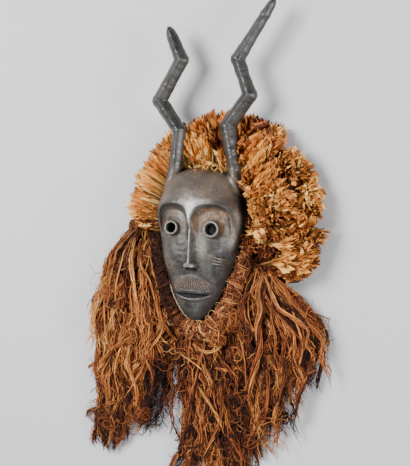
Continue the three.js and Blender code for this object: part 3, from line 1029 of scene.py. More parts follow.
        ring = bell(eye, 10.0, 1.5) * (z > 57)
        nose = bell(x, 0, 1.0) * smooth(-58, -52, y) * smooth(40, 20, y) * (z > 58)
        lips = smooth(-70, -76, y) * smooth(-125, -110, y) * (np.abs(x) < 34)
        cheek = smooth(0, -14, y) * (np.abs(x) > 17)
        root = smooth(52, 64, y) * smooth(112, 98, y)
        lid_edge = bell(reach, 1.02, 0.1) * smooth(18, 26, np.abs(x)) * smooth(-12, 4, y)
        worn = np.clip(bend * 2.0 - 0.12, 0, 0.6) * (1 - 0.85 * lips) * (1 - 0.75 * cheek) * (1 - 0.7 * root)
        worn *= 1 - 0.85 * lid_edge
        # brow, temple, flank and wings mark painted highlights: pale where the brow's V, the right temple,
        # the cheek and the nose wings catch the light
        brow = np.exp(-(((x - mix(0.5, 12, smooth(22, 44, y))) / mix(2, 19, smooth(16, 46, y))) ** 4))
        brow *= smooth(8, 14, y) * smooth(50, 43, y)
        temple = bell(x, mix(57, 66, smooth(-34, 20, y)), 5) * smooth(-36, -14, y) * smooth(38, 20, y)
        flank = bell(x, 17, 8) * bell(y, -26, 15)
        wings = bell(np.abs(x), 6.5, 2.5) * bell(y, -58, 2.0)
        painted_highlight = 0.7 * brow + 0.95 * temple + 0.65 * flank + 0.7 * wings
        store(mesh, "ridge", worn + 0.55 * ring + 0.7 * nose + painted_highlight * (z > 12))

        hollow = smooth(1.0, 0.9, reach) * smooth(-24, -4, y) * (eye > 14)
        forehead = smooth(44, 56, y) * smooth(104, 92, y)
        gloss = np.minimum(1, brow + temple + flank) + 0.85 * smooth(92, 104, y)
        store(mesh, "matt", 0.7 * hollow + 0.6 * forehead + 0.5 * lips - 0.5 * gloss)

        # bore, nostril, slot and under_nose are painted shade: near-black in the holes and where the nose
        # casts shadow
        bore = (eye < 8.2) & (z < 58.6)
        nostril = (np.hypot((np.abs(x) - 4.9) / 1.6, y - shape.nose_under + 0.4) < 3.2) & (z < 66)
        slot = (np.abs(y - shape.mouth_y + 3.5) < 5) & (shape.lips(x, y) < -3.0) & (np.abs(x) < 27)
        under_nose = smooth(-60.2, -61.8, y) * smooth(-68.0, -65.4, y) * (np.abs(x) < 10.5)
        # crevice: painted shade in grooves and on the shaded right wall, grime in grooves too, and a darker
        # tone on the horns
        store(mesh, "crevice", np.maximum.reduce([
            np.clip(-bend * 3.5 - 0.1, 0, 0.85),
            1.0 * (bore | nostril | slot),
            0.75 * shape.combing(x, y) * (moustache > 0.1) * (z > 30),
            0.95 * under_nose,
            0.7 * bell(reach, 0.95, 0.12) * smooth(-16, 10, y) * smooth(3, 8, np.abs(x)),
            0.75 * smooth(30, 14, z) * (x > 0) * smooth(96, 84, y),
            0.46 * smooth(100, 112, y)]))

        lids = smooth(1.0, 0.84, reach) * smooth(38, 26, eye) * smooth(11, 15, eye) * smooth(-22, 12, y)
        store(mesh, "rub", front * np.maximum.reduce([
            lids * mix(0.35, 1.0, x > 0),
            0.42 * smooth(0.2, 1.2, moustache),
            0.55 * smooth(0.1, 0.6, marks)]))
        store(mesh, "dust", smooth(28, 62, y) * smooth(100, 92, y) * front * 0.62)


# Fibres


@dataclass
class Strands:
    """A set of fibres of equal step count: their middle lines and radii for each step, and their tones
    for each fibre or step. In the methods that draw them, each is the shape of one draw for each fibre."""

    lines: Array
    radii: Array
    tones: Array


def line_carrier(name: str, sets: Sequence[Strands]) -> Object:
    """Makes a mesh of bare lines that carries thickness, tone and reach for the node tree.

    Args:
        name: The name of the object and its mesh.
        sets: The fibres.

    Returns:
        The object.
    """
    points, edges = [], []
    carried: dict[str, list] = {"thickness": [], "tone": [], "reach": []}
    first = 0
    for each in sets:
        count, steps = each.lines.shape[:2]
        numbers = first + np.arange(count * steps).reshape(count, steps)
        first += count * steps
        edges.append(np.stack([numbers[:, :-1], numbers[:, 1:]], -1).reshape(-1, 2))
        points.append(each.lines.reshape(-1, 3))
        tones = np.reshape(each.tones, (count, -1))
        carried["thickness"].append(each.radii.reshape(-1) * MM)
        carried["tone"].append(np.broadcast_to(tones, (count, steps)).reshape(-1))
        carried["reach"].append(np.tile(np.linspace(0, 1, steps), count))
    mesh = bpy.data.meshes.new(name)
    mesh.from_pydata(to_frame(np.concatenate(points)).tolist(), np.concatenate(edges).tolist(), [])
    for key, parts in carried.items():
        store(mesh, key, np.concatenate(parts))
    return linked(name, mesh)


def strand_tree() -> Tree:
    """Returns the tree that gives each line of a carrier its thickness and lays the fibres on a core."""
    tree, given = start_tree("fibres_along_lines", {"Sides": "Int", "Flatness": "Float"})
    lines = add(tree, "GeometryNodeMeshToCurve", {"Mesh": given.outputs["Geometry"]})
    level = add(tree, "GeometryNodeSetCurveNormal", {"Curve": lines.outputs[0]}, mode="Z_UP")
    chance = add(tree, "FunctionNodeRandomValue", {2: -0.7, 3: 0.7, "Seed": given.outputs["Seed"]},
                 data_type="FLOAT")
    rolled = add(tree, "GeometryNodeSetCurveTilt", {"Curve": level.outputs[0], "Tilt": chance.outputs[1]})
    ring = add(tree, "GeometryNodeCurvePrimitiveCircle",
               {"Resolution": given.outputs["Sides"], "Radius": 1.0})
    squeeze = add(tree, "ShaderNodeCombineXYZ", {"X": 1.0, "Y": given.outputs["Flatness"], "Z": 1.0})
    section = add(tree, "GeometryNodeTransform",
                  {"Geometry": ring.outputs["Curve"], "Scale": squeeze.outputs[0]})
    thick = add(tree, "GeometryNodeInputNamedAttribute", {"Name": "thickness"}, data_type="FLOAT")
    tubes = add(tree, "GeometryNodeCurveToMesh", {
        "Curve": rolled.outputs[0], "Profile Curve": section.outputs[0],
        "Scale": thick.outputs["Attribute"], "Fill Caps": True})
    end_tree(tree, given, tubes.outputs[0], True)
    return tree


def kinks(rng: Chance, count: int, t: Array, waves: Table) -> Array:
    """Returns a smooth random wander for each fibre.

    Args:
        rng: The source of chance.
        count: How many fibres.
        t: The shares of the length at which it is wanted.
        waves: How many waves there are on the length, and how far each goes in millimetres.

    Returns:
        The offsets, as an array of fibre, step and axis.
    """
    out = np.zeros((count, t.shape[-1], 3))
    for number, size in waves:
        rate = 2 * math.pi * number * rng.uniform(0.6, 1.4, (count, 1, 3))
        start = rng.uniform(0, 2 * math.pi, (count, 1, 3))
        out += size * rng.uniform(0.4, 1.3, (count, 1, 3)) * np.sin(rate * t[..., None] + start)
    return out


def tangle(rng: Chance, centre: Sequence[float], size: Sequence[float], count: int,
           tone: float, radius: float = 0.8) -> Strands:
    """Returns fibres that curl through a ball, as in a knot or a felted clump.

    Args:
        rng: The source of chance.
        centre: The ball's middle.
        size: The ball's half size along each axis.
        count: How many fibres.
        tone: Their middle tone.
        radius: Their radius.

    Returns:
        The fibres.
    """
    t = np.linspace(0, 1, 20)[None, :]
    swirl = kinks(rng, count, t, ((0.7, 0.62), (1.5, 0.36)))
    reach = np.linalg.norm(swirl, axis=-1, keepdims=True)
    swirl = swirl / np.maximum(reach, 1e-6) * np.tanh(reach * 1.3)
    line = np.asarray(centre) + swirl * np.asarray(size)
    radii = radius * rng.uniform(0.6, 1.3, (count, 1)) * mix(1.0, 0.45, smooth(0.75, 1, t))
    line[..., 2] = np.maximum(line[..., 2], GROUND + radii + HAIR_GAP)
    return Strands(line, radii, np.clip(tone + rng.normal(0, 0.16, count), 0.03, 1))


@dataclass(frozen=True)
class Rope:
    """A twisted rope of hair that stands out of a hank."""

    stops: Table  # its middle line, as x, y and lift over the hank's skin
    count: int  # how many fibres it has
    girth: float  # its radius
    tone: float
    radius: float = 1.0  # how thick its fibres are, as a share of the usual


# The edge that the beard and the right hank share, as level and x.
PARTING: Table = ((-395, 96), (-355, 84), (-320, 74), (-280, 67), (-225, 58), (-190, 50), (-165, 44),
                  (-120, 30))


@dataclass(frozen=True)
class Hank:
    """One hank of long bast hair: its edges and height by level, and how its locks lie."""

    name: str
    node: str
    top: float
    bottom: float
    left: Table
    right: Table
    height: Table
    locks: int
    seed: int
    gather: float  # how far across the locks are tied together at the top
    tied: float  # how much narrower the hank is there
    fan: float  # the share of the length at which the locks have spread to their full width
    tone: float
    shade: Table  # how much lighter or darker the hair is, by level
    ends: Table  # how far above the bottom the locks end, by place across
    ropes: tuple[Rope, ...]
    tangles: Table  # each felted clump's x, y, z, size, count and tone
    dusk: float = 0.0  # how much painted shade darkens its lower right
    sway: float = 0.13  # how far across the locks sway
    per_lock: int = 23
    wisps: int = 80
    ribbons: int = 5
    curls: int = 470
    steps: int = 24

    def skin(self, y: Array, place: Array, depth: Array) -> Array:
        """Works out places in the hank.

        Args:
            y: The level.
            place: How far across, from -1 to 1.
            depth: The share of the hank's height, 1 on its skin.

        Returns:
            The places.
        """
        x = mix(along(self.left, y), along(self.right, y), (place + 1) / 2)
        arch = np.sqrt(np.clip(1 - np.clip(np.abs(place), 0, 0.98) ** 4, 0, 1))
        return np.stack([x, y, GROUND + along(self.height, y) * 0.9 * arch * depth], -1)

    def lie(self, home: Array, y: Array) -> Array:
        """Returns how far across a fibre lies at a level, from where it lies in the open hank."""
        t = (y - self.top) / (self.bottom - self.top)
        return mix(self.gather + (home - self.gather) * self.tied, home, smooth(-0.02, self.fan, t))

    def low(self, home: Array) -> Array:
        """Returns the level at which the locks end, at a place across."""
        return self.bottom + along(self.ends, np.asarray(home, float))

    def across(self, x: Array, y: Array) -> Array:
        """Returns the share of the way from the left edge to the right one."""
        left, right = along(self.left, y), along(self.right, y)
        return (x - left) / (right - left)

    def core(self) -> Object:
        """Returns the inner body that shows between the locks, dark as painted shade."""
        place = np.array([-0.68, -0.5, -0.25, 0.0, 0.25, 0.5, 0.68])[None, :]
        levels = mix(self.top - 4, mix(self.low(place), self.top, 0.25), np.linspace(0, 1, 30)[:, None])
        arch = self.skin(levels, self.lie(place, levels), np.full_like(levels, 0.5))
        return dark_core(f"{self.name}_core", footed(arch, GROUND + CORE_GAP), 0.14)

    def settled(self, line: Array, radius: Array, tones: Array) -> Strands:
        """Keeps fibres in the hair's bounds and off the ground, and tapers them towards their ends.

        Args:
            line: Their middle lines.
            radius: The radius of each.
            tones: The tone of each, before the hank's own shade.

        Returns:
            The fibres.
        """
        t = np.linspace(0, 1, line.shape[1])[None, :]
        radii = radius * mix(0.75, 1.0, smooth(0, 0.08, t)) * mix(1.0, 0.3, smooth(0.82, 1.0, t))
        line[..., 0] = held(line[..., 0], *HAIR_SIDES)
        line[..., 1] = held(line[..., 1], HAIR_FOOT, self.top)
        line[..., 2] = np.maximum(line[..., 2], GROUND + radii + HAIR_GAP)
        x, y = line[..., 0], line[..., 1]
        # painted shade over the hank's lower right
        dusk = self.dusk * smooth(0.66, 0.86, self.across(x, y)) * smooth(-190, -240, y)
        tones = (tones + self.tone)[:, None] + along(self.shade, y) - dusk
        return Strands(line, radii, np.clip(tones, 0.02, 1))

    def lock(self, home: float, depth: float, rng: Chance) -> list[Strands]:
        """Makes one lock.

        Args:
            home: How far across it lies, from -1 to 1.
            depth: The share of the hank's height at which it lies.
            rng: The source of chance.

        Returns:
            Its fibres, which wind round its middle line, and its frayed end.
        """
        count = self.per_lock
        each = (count, 1)
        t = np.linspace(0, 1, self.steps)[None, :]
        low = self.low(home) - 6
        end = mix(low, self.top, rng.beta(1.1, 3.0) * mix(0.1, 0.5, smooth(0.5, 1.0, depth)))
        share = t * rng.uniform(0.84, 1.0, each)
        y = mix(self.top - rng.uniform(0, 6, each), end, share)
        sway = self.sway * rng.uniform(0.5, 1.7) * (1.1 - abs(home))
        sway = sway * np.sin(rng.uniform(0, TURN) + rng.uniform(4, 10) * share)
        place = self.lie(home, y) + sway * smooth(0.05, 0.4, share)
        line = self.skin(y, place, np.full_like(y, depth))
        lift = rng.uniform(1.0, 4.0) * np.sin(rng.uniform(0, TURN) + rng.uniform(5, 9) * share)
        girth = rng.uniform(5.0, 9.0) * mix(0.7, 1.0, smooth(0, 0.3, share))
        girth = girth * mix(1.0, 0.35, smooth(0.6, 1, share))
        rho = np.sqrt(rng.uniform(0, 1, each))
        angle = rng.uniform(0, TURN, each) + rng.choice([-1, 1]) * rng.uniform(4, 11) * share
        line[..., 0] += girth * rho * np.cos(angle)
        line[..., 2] += 0.6 * girth * rho * np.sin(angle) + lift
        frizz = mix(1.05, 2.6, smooth(0.6, 1.0, share)) * rng.choice([1.0, 1.0, 1.0, 2.2], each)
        line += kinks(rng, count, t, ((2.5, 1.7), (5, 1.3), (9, 0.9))) * frizz[..., None]
        # fibres on a lock's upper side are lighter and locks that lie deeper are darker: painted light and
        # shade
        upper = rho[:, 0] * np.sin(angle[:, self.steps // 2])
        tones = rng.beta(1.5, 1.9, count) * 0.85 + 0.12 * upper + 0.4 * (depth - 0.8) + rng.normal(0, 0.1)
        radius = rng.uniform(0.5, 1.3, each)
        tips = line[::3, -4]
        return [self.settled(line, radius, tones), self.fray(tips, tones[::3], rng)]

    def fray(self, tips: Array, tones: Array, rng: Chance) -> Strands:
        """Makes short curled fibres that splay out of the ends of others.

        Args:
            tips: Where they start.
            tones: The tone of each.
            rng: The source of chance.

        Returns:
            The fibres.
        """
        t = np.linspace(0, 1, 8)[None, :]
        count = len(tips)
        heading = np.column_stack([rng.normal(0, 0.55, count), -np.ones(count), rng.normal(0, 0.3, count)])
        line = tips[:, None, :] + unit(heading)[:, None, :] * t[..., None] * rng.uniform(8, 22, (count, 1, 1))
        line += kinks(rng, count, t, ((0.8, 2.4), (1.8, 1.1))) * t[..., None]
        return self.settled(line, rng.uniform(0.4, 0.9, (count, 1)), tones)

    def wisp(self, rng: Chance) -> Strands:
        """Returns a short loose bundle that lies over the locks and crosses them."""
        count = 9
        each = (count, 1)
        t = np.linspace(0, 1, 14)[None, :]
        home = rng.uniform(-1.0, 1.0)
        low = self.low(home)
        start = mix(self.top - 8, low + 34, rng.uniform(0, 1) ** 0.85)
        length = min(rng.uniform(60, 150), start - low + 14)
        y = start - length * t * rng.uniform(0.8, 1.0, each)
        height = rng.uniform(0.86, 1.1)
        depth = np.full_like(y, 0.76) + (height - 0.76) * np.sin(math.pi * t**0.7)
        line = self.skin(y, self.lie(home, y), depth)
        swing, phase = rng.uniform(2, 8), rng.uniform(0, TURN)
        line[..., 0] += swing * np.sin(phase + 2 * math.pi * length / rng.uniform(50, 95) * t)
        line[..., 0] += rng.normal(0, 0.17) * length * t
        rho = np.sqrt(rng.uniform(0, 1, each))
        angle = rng.uniform(0, TURN, each) + rng.choice([-1, 1]) * rng.uniform(1.5, 4.5) * t
        girth = rng.uniform(2.5, 6.0) * mix(1.0, 0.5, t)
        line[..., 0] += girth * rho * np.cos(angle)
        line[..., 2] += 0.6 * girth * rho * np.sin(angle)
        line += kinks(rng, count, t, ((1.5, 1.6), (3, 1.3), (5.5, 0.8))) * mix(0.8, 1.5, t)[..., None]
        # wisps that stand higher over the hank are lighter: painted light
        tones = rng.beta(1.5, 1.8) * 0.85 + 0.6 * (height - 0.97) + rng.normal(0, 0.13, count)
        return self.settled(line, rng.uniform(0.4, 1.05, each), tones)

    def broad_strips(self, rng: Chance) -> Strands:
        """Returns the broad pale strips of bast that lie on top."""
        count = self.ribbons
        each = (count, 1)
        t = np.linspace(0, 1, self.steps)[None, :]
        start = self.top - rng.uniform(0, 40, each)
        y = mix(start, mix(self.bottom, self.top, rng.uniform(0.1, 0.45, each)), t)
        home = rng.uniform(-0.85, 0.85, each) + 0.12 * np.sin(rng.uniform(0, 6, each) + 5 * t)
        line = self.skin(y, self.lie(home, y), np.full_like(y, 1.04))
        line += kinks(rng, count, t, ((2, 2.8), (5, 1.2)))
        return self.settled(line, rng.uniform(1.1, 2.1, each), rng.uniform(0.45, 0.75, count))

    def stray_curls(self, rng: Chance) -> Strands:
        """Returns the short fibres that curl out of the locks, most of them near the edges and the ends."""
        count = self.curls
        each = (count, 1)
        t = np.linspace(0, 1, 9)[None, :]
        home = np.where(rng.uniform(0, 1, each) < 0.4, rng.choice([-0.95, 0.95], each),
                        rng.uniform(-0.95, 0.95, each))
        y = mix(self.top - 12, self.low(home) + 12, rng.uniform(0, 1, each) ** 0.8)
        start = self.skin(y, self.lie(home, y), np.full_like(y, 0.95))
        length = rng.uniform(12, 46, each) * mix(1.0, 0.75, np.abs(home) > 0.9)
        turn = -math.pi / 2 + rng.normal(0, 0.75, each) + rng.normal(0, 1.7, each) * t
        turn += 0.5 * np.sin(rng.uniform(0, TURN, each) + rng.uniform(6, 12, each) * t)
        step = length / (t.shape[1] - 1)
        flat = [np.cumsum(way(turn) * step, axis=1) for way in (np.cos, np.sin)]
        rise = rng.uniform(-3, 5, each) * np.sin(math.pi * t) - 3 * t
        line = start + np.stack([*flat, rise], -1)
        return self.settled(line, rng.uniform(0.35, 0.8, each), rng.beta(2, 2, count) + 0.05)

    def wound_rope(self, rope: Rope, rng: Chance) -> list[Strands]:
        """Makes a rope.

        Args:
            rope: Its course and its looks.
            rng: The source of chance.

        Returns:
            Its fibres, which wind round its middle line, and its frayed end.
        """
        stops = np.asarray(rope.stops, float)
        reach = run_of(stops)
        t = np.linspace(0, 1, max(9, int(reach[-1] / 8)))[None, :]
        count = rope.count
        each = (count, 1)
        share = mix(rng.uniform(0, 0.06, each), rng.uniform(0.85, 1.0, each), t)
        x, y, lift = (along(np.column_stack([reach, stops[:, k]]), share * reach[-1]) for k in range(3))
        base = self.skin(y, self.across(x, y) * 2 - 1, np.ones_like(y))[..., 2]
        ahead = unit(np.stack([np.gradient(x, axis=1), np.gradient(y, axis=1)], -1))
        girth = rope.girth * mix(0.7, 1.0, smooth(0, 0.2, t)) * mix(1.0, 0.45, smooth(0.75, 1, t))
        rho = np.sqrt(rng.uniform(0, 1, each))
        angle = rng.uniform(0, TURN, each) + rng.choice([-1, 1]) * reach[-1] / 32 * t
        out = girth * rho * np.cos(angle)
        line = np.stack([x + out * ahead[..., 1], y - out * ahead[..., 0], base + lift], -1)
        line[..., 2] += 0.8 * girth * rho * np.sin(angle)
        line += kinks(rng, count, t, ((2.5, 0.8), (6, 0.5)))
        # fibres on a rope's upper side are lighter: painted light
        upper = rho[:, 0] * np.sin(angle[:, 4])
        tones = 0.86 * rope.tone - 0.04 - self.tone + 0.16 * upper + rng.normal(0, 0.15, count)
        return [self.settled(line, rng.uniform(0.6, 1.1, each) * rope.radius, tones),
                self.fray(line[::2, -3], tones[::2], rng)]

    def build(self, tree: Tree, finish: Material) -> Object:
        """Grows the hank.

        Args:
            tree: The tree for fibres along lines.
            finish: Its finish.

        Returns:
            The finished piece.
        """
        rng = np.random.default_rng(self.seed)
        sets: list[Strands] = []
        for layer, depth in enumerate((0.5, 0.72, 0.95)):
            number = self.locks - 2 * layer
            homes = np.linspace(-0.97, 0.97, number) + rng.uniform(-0.06, 0.06, number)
            for home in homes:
                sets += self.lock(home, depth + rng.uniform(-0.06, 0.06), rng)
        sets += [self.broad_strips(rng), self.stray_curls(rng), *(self.wisp(rng) for _ in range(self.wisps))]
        for rope in self.ropes:
            sets += self.wound_rope(rope, rng)
        for x, y, z, size, count, tone in self.tangles:
            sets.append(tangle(rng, (x, y, z), (size, size, size * 0.55), int(count), tone))
        core = self.core()
        values = {"Sides": 3, "Flatness": 0.5, "Seed": self.seed, "Core": core, "Finish": finish}
        made = grow(line_carrier(self.name, sets), tree, values, self.name)
        bpy.data.objects.remove(core)
        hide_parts(self.node)
        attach(made, "root")
        return made


LEFT_ROPES = (
    Rope(((-119, -22, 2), (-119, -60, 4), (-113, -95, 5), (-106, -131, 5), (-104, -162, 3)),
          14, 3.2, 0.86, 1.2),
    Rope(((-108, -22, 1), (-104, -62, 4), (-86, -86, 5), (-75, -114, 5), (-65, -148, 5), (-54, -170, 4),
          (-47, -197, 2), (-48, -222, 0), (-55, -246, 0)), 14, 2.8, 0.7, 1.1),
    Rope(((-92, -30, 1), (-82, -66, 3), (-72, -96, 4), (-70, -128, 4), (-63, -160, 3), (-74, -184, 4),
          (-88, -206, 4), (-104, -228, 2)), 10, 2.4, 0.66),
    Rope(((-118, -190, 5), (-121, -224, 5), (-111, -248, 5), (-103, -272, 5), (-107, -298, 3)),
          14, 3.2, 0.8, 1.2),
    Rope(((-90, -206, 4), (-96, -232, 4), (-112, -262, 4), (-126, -284, 3)), 10, 2.4, 0.58),
    Rope(((-132, -90, 3), (-158, -120, 2), (-170, -150, 1), (-174, -172, 0), (-166, -190, 0)), 9, 2.2, 0.6),
    Rope(((-119, -186, 4), (-144, -200, 4), (-174, -226, 3), (-216, -244, 1)), 16, 3.0, 0.6, 1.1),
    Rope(((-146, -198, 3), (-168, -226, 1), (-180, -243, 0), (-186, -262, 0)), 9, 2.4, 0.5),
    Rope(((-136, -290, 3), (-152, -298, 2), (-176, -304, 1), (-218, -322, 1)), 16, 3.0, 0.5, 1.1),
    Rope(((-152, -306, 3), (-176, -324, 0), (-188, -345, 0), (-192, -372, 0)), 10, 2.6, 0.45),
    Rope(((-71, -168, 3), (-58, -189, 2), (-42, -204, 4), (-27, -208, 4)), 4, 0.8, 0.9),
    Rope(((-75, -240, 2), (-62, -252, 0), (-46, -258, 0), (-34, -255, 0)), 8, 2.0, 0.12),
    Rope(((-64, -246, 0), (-59, -278, 0), (-48, -318, 0), (-32, -348, 0), (-19, -372, 0)), 4, 0.7, 0.2),
)
BEARD_ROPES = (
    Rope(((12, -176, 4), (4, -212, 4), (2, -234, 4), (-6, -262, 4), (-13, -298, 4), (-18, -332, 3),
          (-19, -368, 1)), 16, 3.6, 0.5, 1.1),
    Rope(((3, -250, 6), (20, -272, 7), (35, -292, 7), (43, -308, 6), (47, -322, 4)), 9, 2.2, 0.84, 1.2),
    Rope(((44, -262, 5), (43, -296, 5), (35, -324, 5), (19, -356, 4), (6, -382, 2)), 15, 3.6, 0.55, 1.1),
    Rope(((60, -270, 4), (77, -304, 3), (90, -332, 2), (88, -358, 1)), 12, 3.0, 0.4),
    Rope(((-12, -168, 6), (8, -172, 7), (27, -180, 6), (40, -196, 4)), 10, 2.6, 0.86, 1.2),
    Rope(((-10, -182, 5), (10, -194, 6), (28, -192, 5), (44, -178, 5)), 9, 2.2, 0.78),
    Rope(((91, -158, 6), (86, -180, 6), (68, -195, 5), (46, -204, 4)), 10, 2.4, 0.76, 1.1),
    Rope(((97, -203, 5), (79, -214, 6), (54, -221, 6), (30, -219, 4)), 10, 2.4, 0.84, 1.2),
    Rope(((54, -158, 6), (53, -174, 7), (57, -190, 5)), 6, 1.6, 0.85, 1.1),
    Rope(((-22, -236, 0), (-30, -262, 0), (-26, -292, 0), (-16, -314, 0)), 5, 1.0, 0.4),
    Rope(((-40, -199, 5), (-24, -205, 6), (-5, -213, 7), (18, -230, 7)), 4, 0.7, 0.8),
    Rope(((-14, -330, 2), (-28, -356, 2), (-42, -376, 1), (-54, -398, 0)), 16, 3.8, 0.5),
)
RIGHT_ROPES = (
    Rope(((101, -62, 2), (100, -97, 5), (107, -121, 6), (103, -150, 7), (107, -177, 7), (98, -212, 6),
          (90, -250, 5), (90, -280, 3)), 26, 5.6, 0.58, 1.1),
    Rope(((104, -56, 1), (120, -92, 4), (135, -117, 5), (156, -129, 5), (178, -145, 4), (178, -168, 3),
          (169, -192, 2)), 13, 2.8, 0.78, 1.1),
    Rope(((112, -62, 1), (147, -88, 4), (167, -106, 4), (185, -127, 3), (189, -150, 2)), 12, 2.8, 0.6),
    Rope(((130, -122, 4), (143, -137, 5), (158, -151, 5), (162, -171, 4), (160, -196, 2)),
          11, 2.6, 0.72, 1.1),
    Rope(((176, -114, 2), (192, -134, 1), (203, -154, 0), (209, -180, 0)), 12, 3.4, 0.34),
    Rope(((194, -156, 0), (200, -190, 0), (196, -215, 0), (190, -244, 0)), 14, 3.6, 0.16),
    Rope(((188, -163, 1), (186, -191, 1), (179, -222, 0), (168, -253, 0), (162, -298, 0)), 16, 3.8, 0.4),
    Rope(((146, -190, 5), (148, -220, 5), (142, -250, 4), (140, -284, 1)), 13, 3.2, 0.36),
    Rope(((120, -214, 6), (121, -243, 6), (119, -268, 5), (114, -298, 3)), 13, 3.0, 0.62, 1.1),
    Rope(((122, -106, 5), (126, -140, 6), (132, -172, 6), (128, -204, 4)), 11, 2.8, 0.5),
)
HANKS = (
    Hank("left_hair", "hair_left", top=3, bottom=-366, locks=8, seed=7, gather=0.3, tied=0.6, fan=0.14,
         tone=0.04, shade=((-366, -0.14), (-305, -0.08), (-262, 0.0), (-150, 0.1), (0, 0.06)), dusk=0.5,
         left=((-362, -176), (-330, -185), (-300, -180), (-280, -176), (-243, -186), (-190, -184),
               (-150, -193), (-110, -187), (-60, -173), (-20, -150), (0, -138)),
         right=((-362, -112), (-336, -76), (-276, -62), (-203, -58), (-163, -46), (-115, -50), (-50, -64),
                (0, -80)),
         height=((-362, 14), (-300, 24), (-240, 30), (-150, 38), (-60, 42), (-20, 36), (0, 28)),
         tangles=((-156, -320, -18, 26, 60, 0.28), (-168, -232, -18, 16, 26, 0.35),
                  (-170, -140, -14, 14, 24, 0.4), (-96, -308, -14, 20, 40, 0.3),
                  (-122, -178, 2, 19, 40, 0.55), (-164, -76, -12, 14, 24, 0.45),
                  (-122, 2, -10, 15, 44, 0.4), (-150, -118, 2, 24, 50, 0.5)),
         ends=((-1, 8), (-0.5, 0), (0.1, 10), (0.4, 26), (0.7, 32), (1, 46)), ropes=LEFT_ROPES),
    Hank("chin_beard", "beard", top=-146, bottom=-392, locks=7, seed=19, gather=0.0, tied=0.9, fan=0.3,
         tone=-0.08, shade=((-390, -0.04), (-250, -0.04), (-180, 0.06)), sway=0.24,
         left=((-390, -34), (-350, -26), (-338, -24), (-280, -27), (-225, -35), (-180, -38), (-150, -30)),
         right=PARTING, height=((-390, 12), (-340, 20), (-280, 28), (-210, 34), (-150, 34)),
         tangles=((52, -140, 0, 25, 56, 0.5), (30, -168, 0, 22, 44, 0.52), (0, -184, -6, 18, 30, 0.42),
                  (62, -196, -4, 18, 30, 0.4), (62, -338, -20, 20, 26, 0.25), (24, -342, -18, 16, 20, 0.3)),
         ends=((-1, 10), (-0.6, -8), (-0.2, 4), (0.15, -12), (0.5, 8), (0.8, -4), (1, 14)),
         ropes=BEARD_ROPES),
    Hank("right_hair", "hair_right", top=-12, bottom=-352, locks=8, seed=31, gather=-0.3, tied=0.4, fan=0.4,
         tone=-0.07, shade=((-350, -0.04), (-200, 0.0), (-90, 0.06)),
         left=(*PARTING, (-60, 74), (-30, 88), (-10, 94)),
         right=((-360, 176), (-300, 184), (-250, 190), (-200, 197), (-173, 199), (-147, 195), (-122, 182),
                (-98, 160), (-60, 130), (-30, 116), (-10, 112)),
         height=((-352, 12), (-310, 24), (-250, 34), (-173, 42), (-110, 44), (-60, 38), (-30, 32), (-10, 26)),
         tangles=((192, -180, -16, 14, 22, 0.3), (122, -176, 4, 16, 26, 0.4), (140, -290, -18, 14, 20, 0.2),
                  (90, -330, -18, 18, 26, 0.3)),
         ends=((-1, 0), (-0.6, 2), (-0.1, 12), (0.17, 26), (0.29, 52), (0.43, 100), (0.8, 132), (1, 172)),
         ropes=RIGHT_ROPES),
)


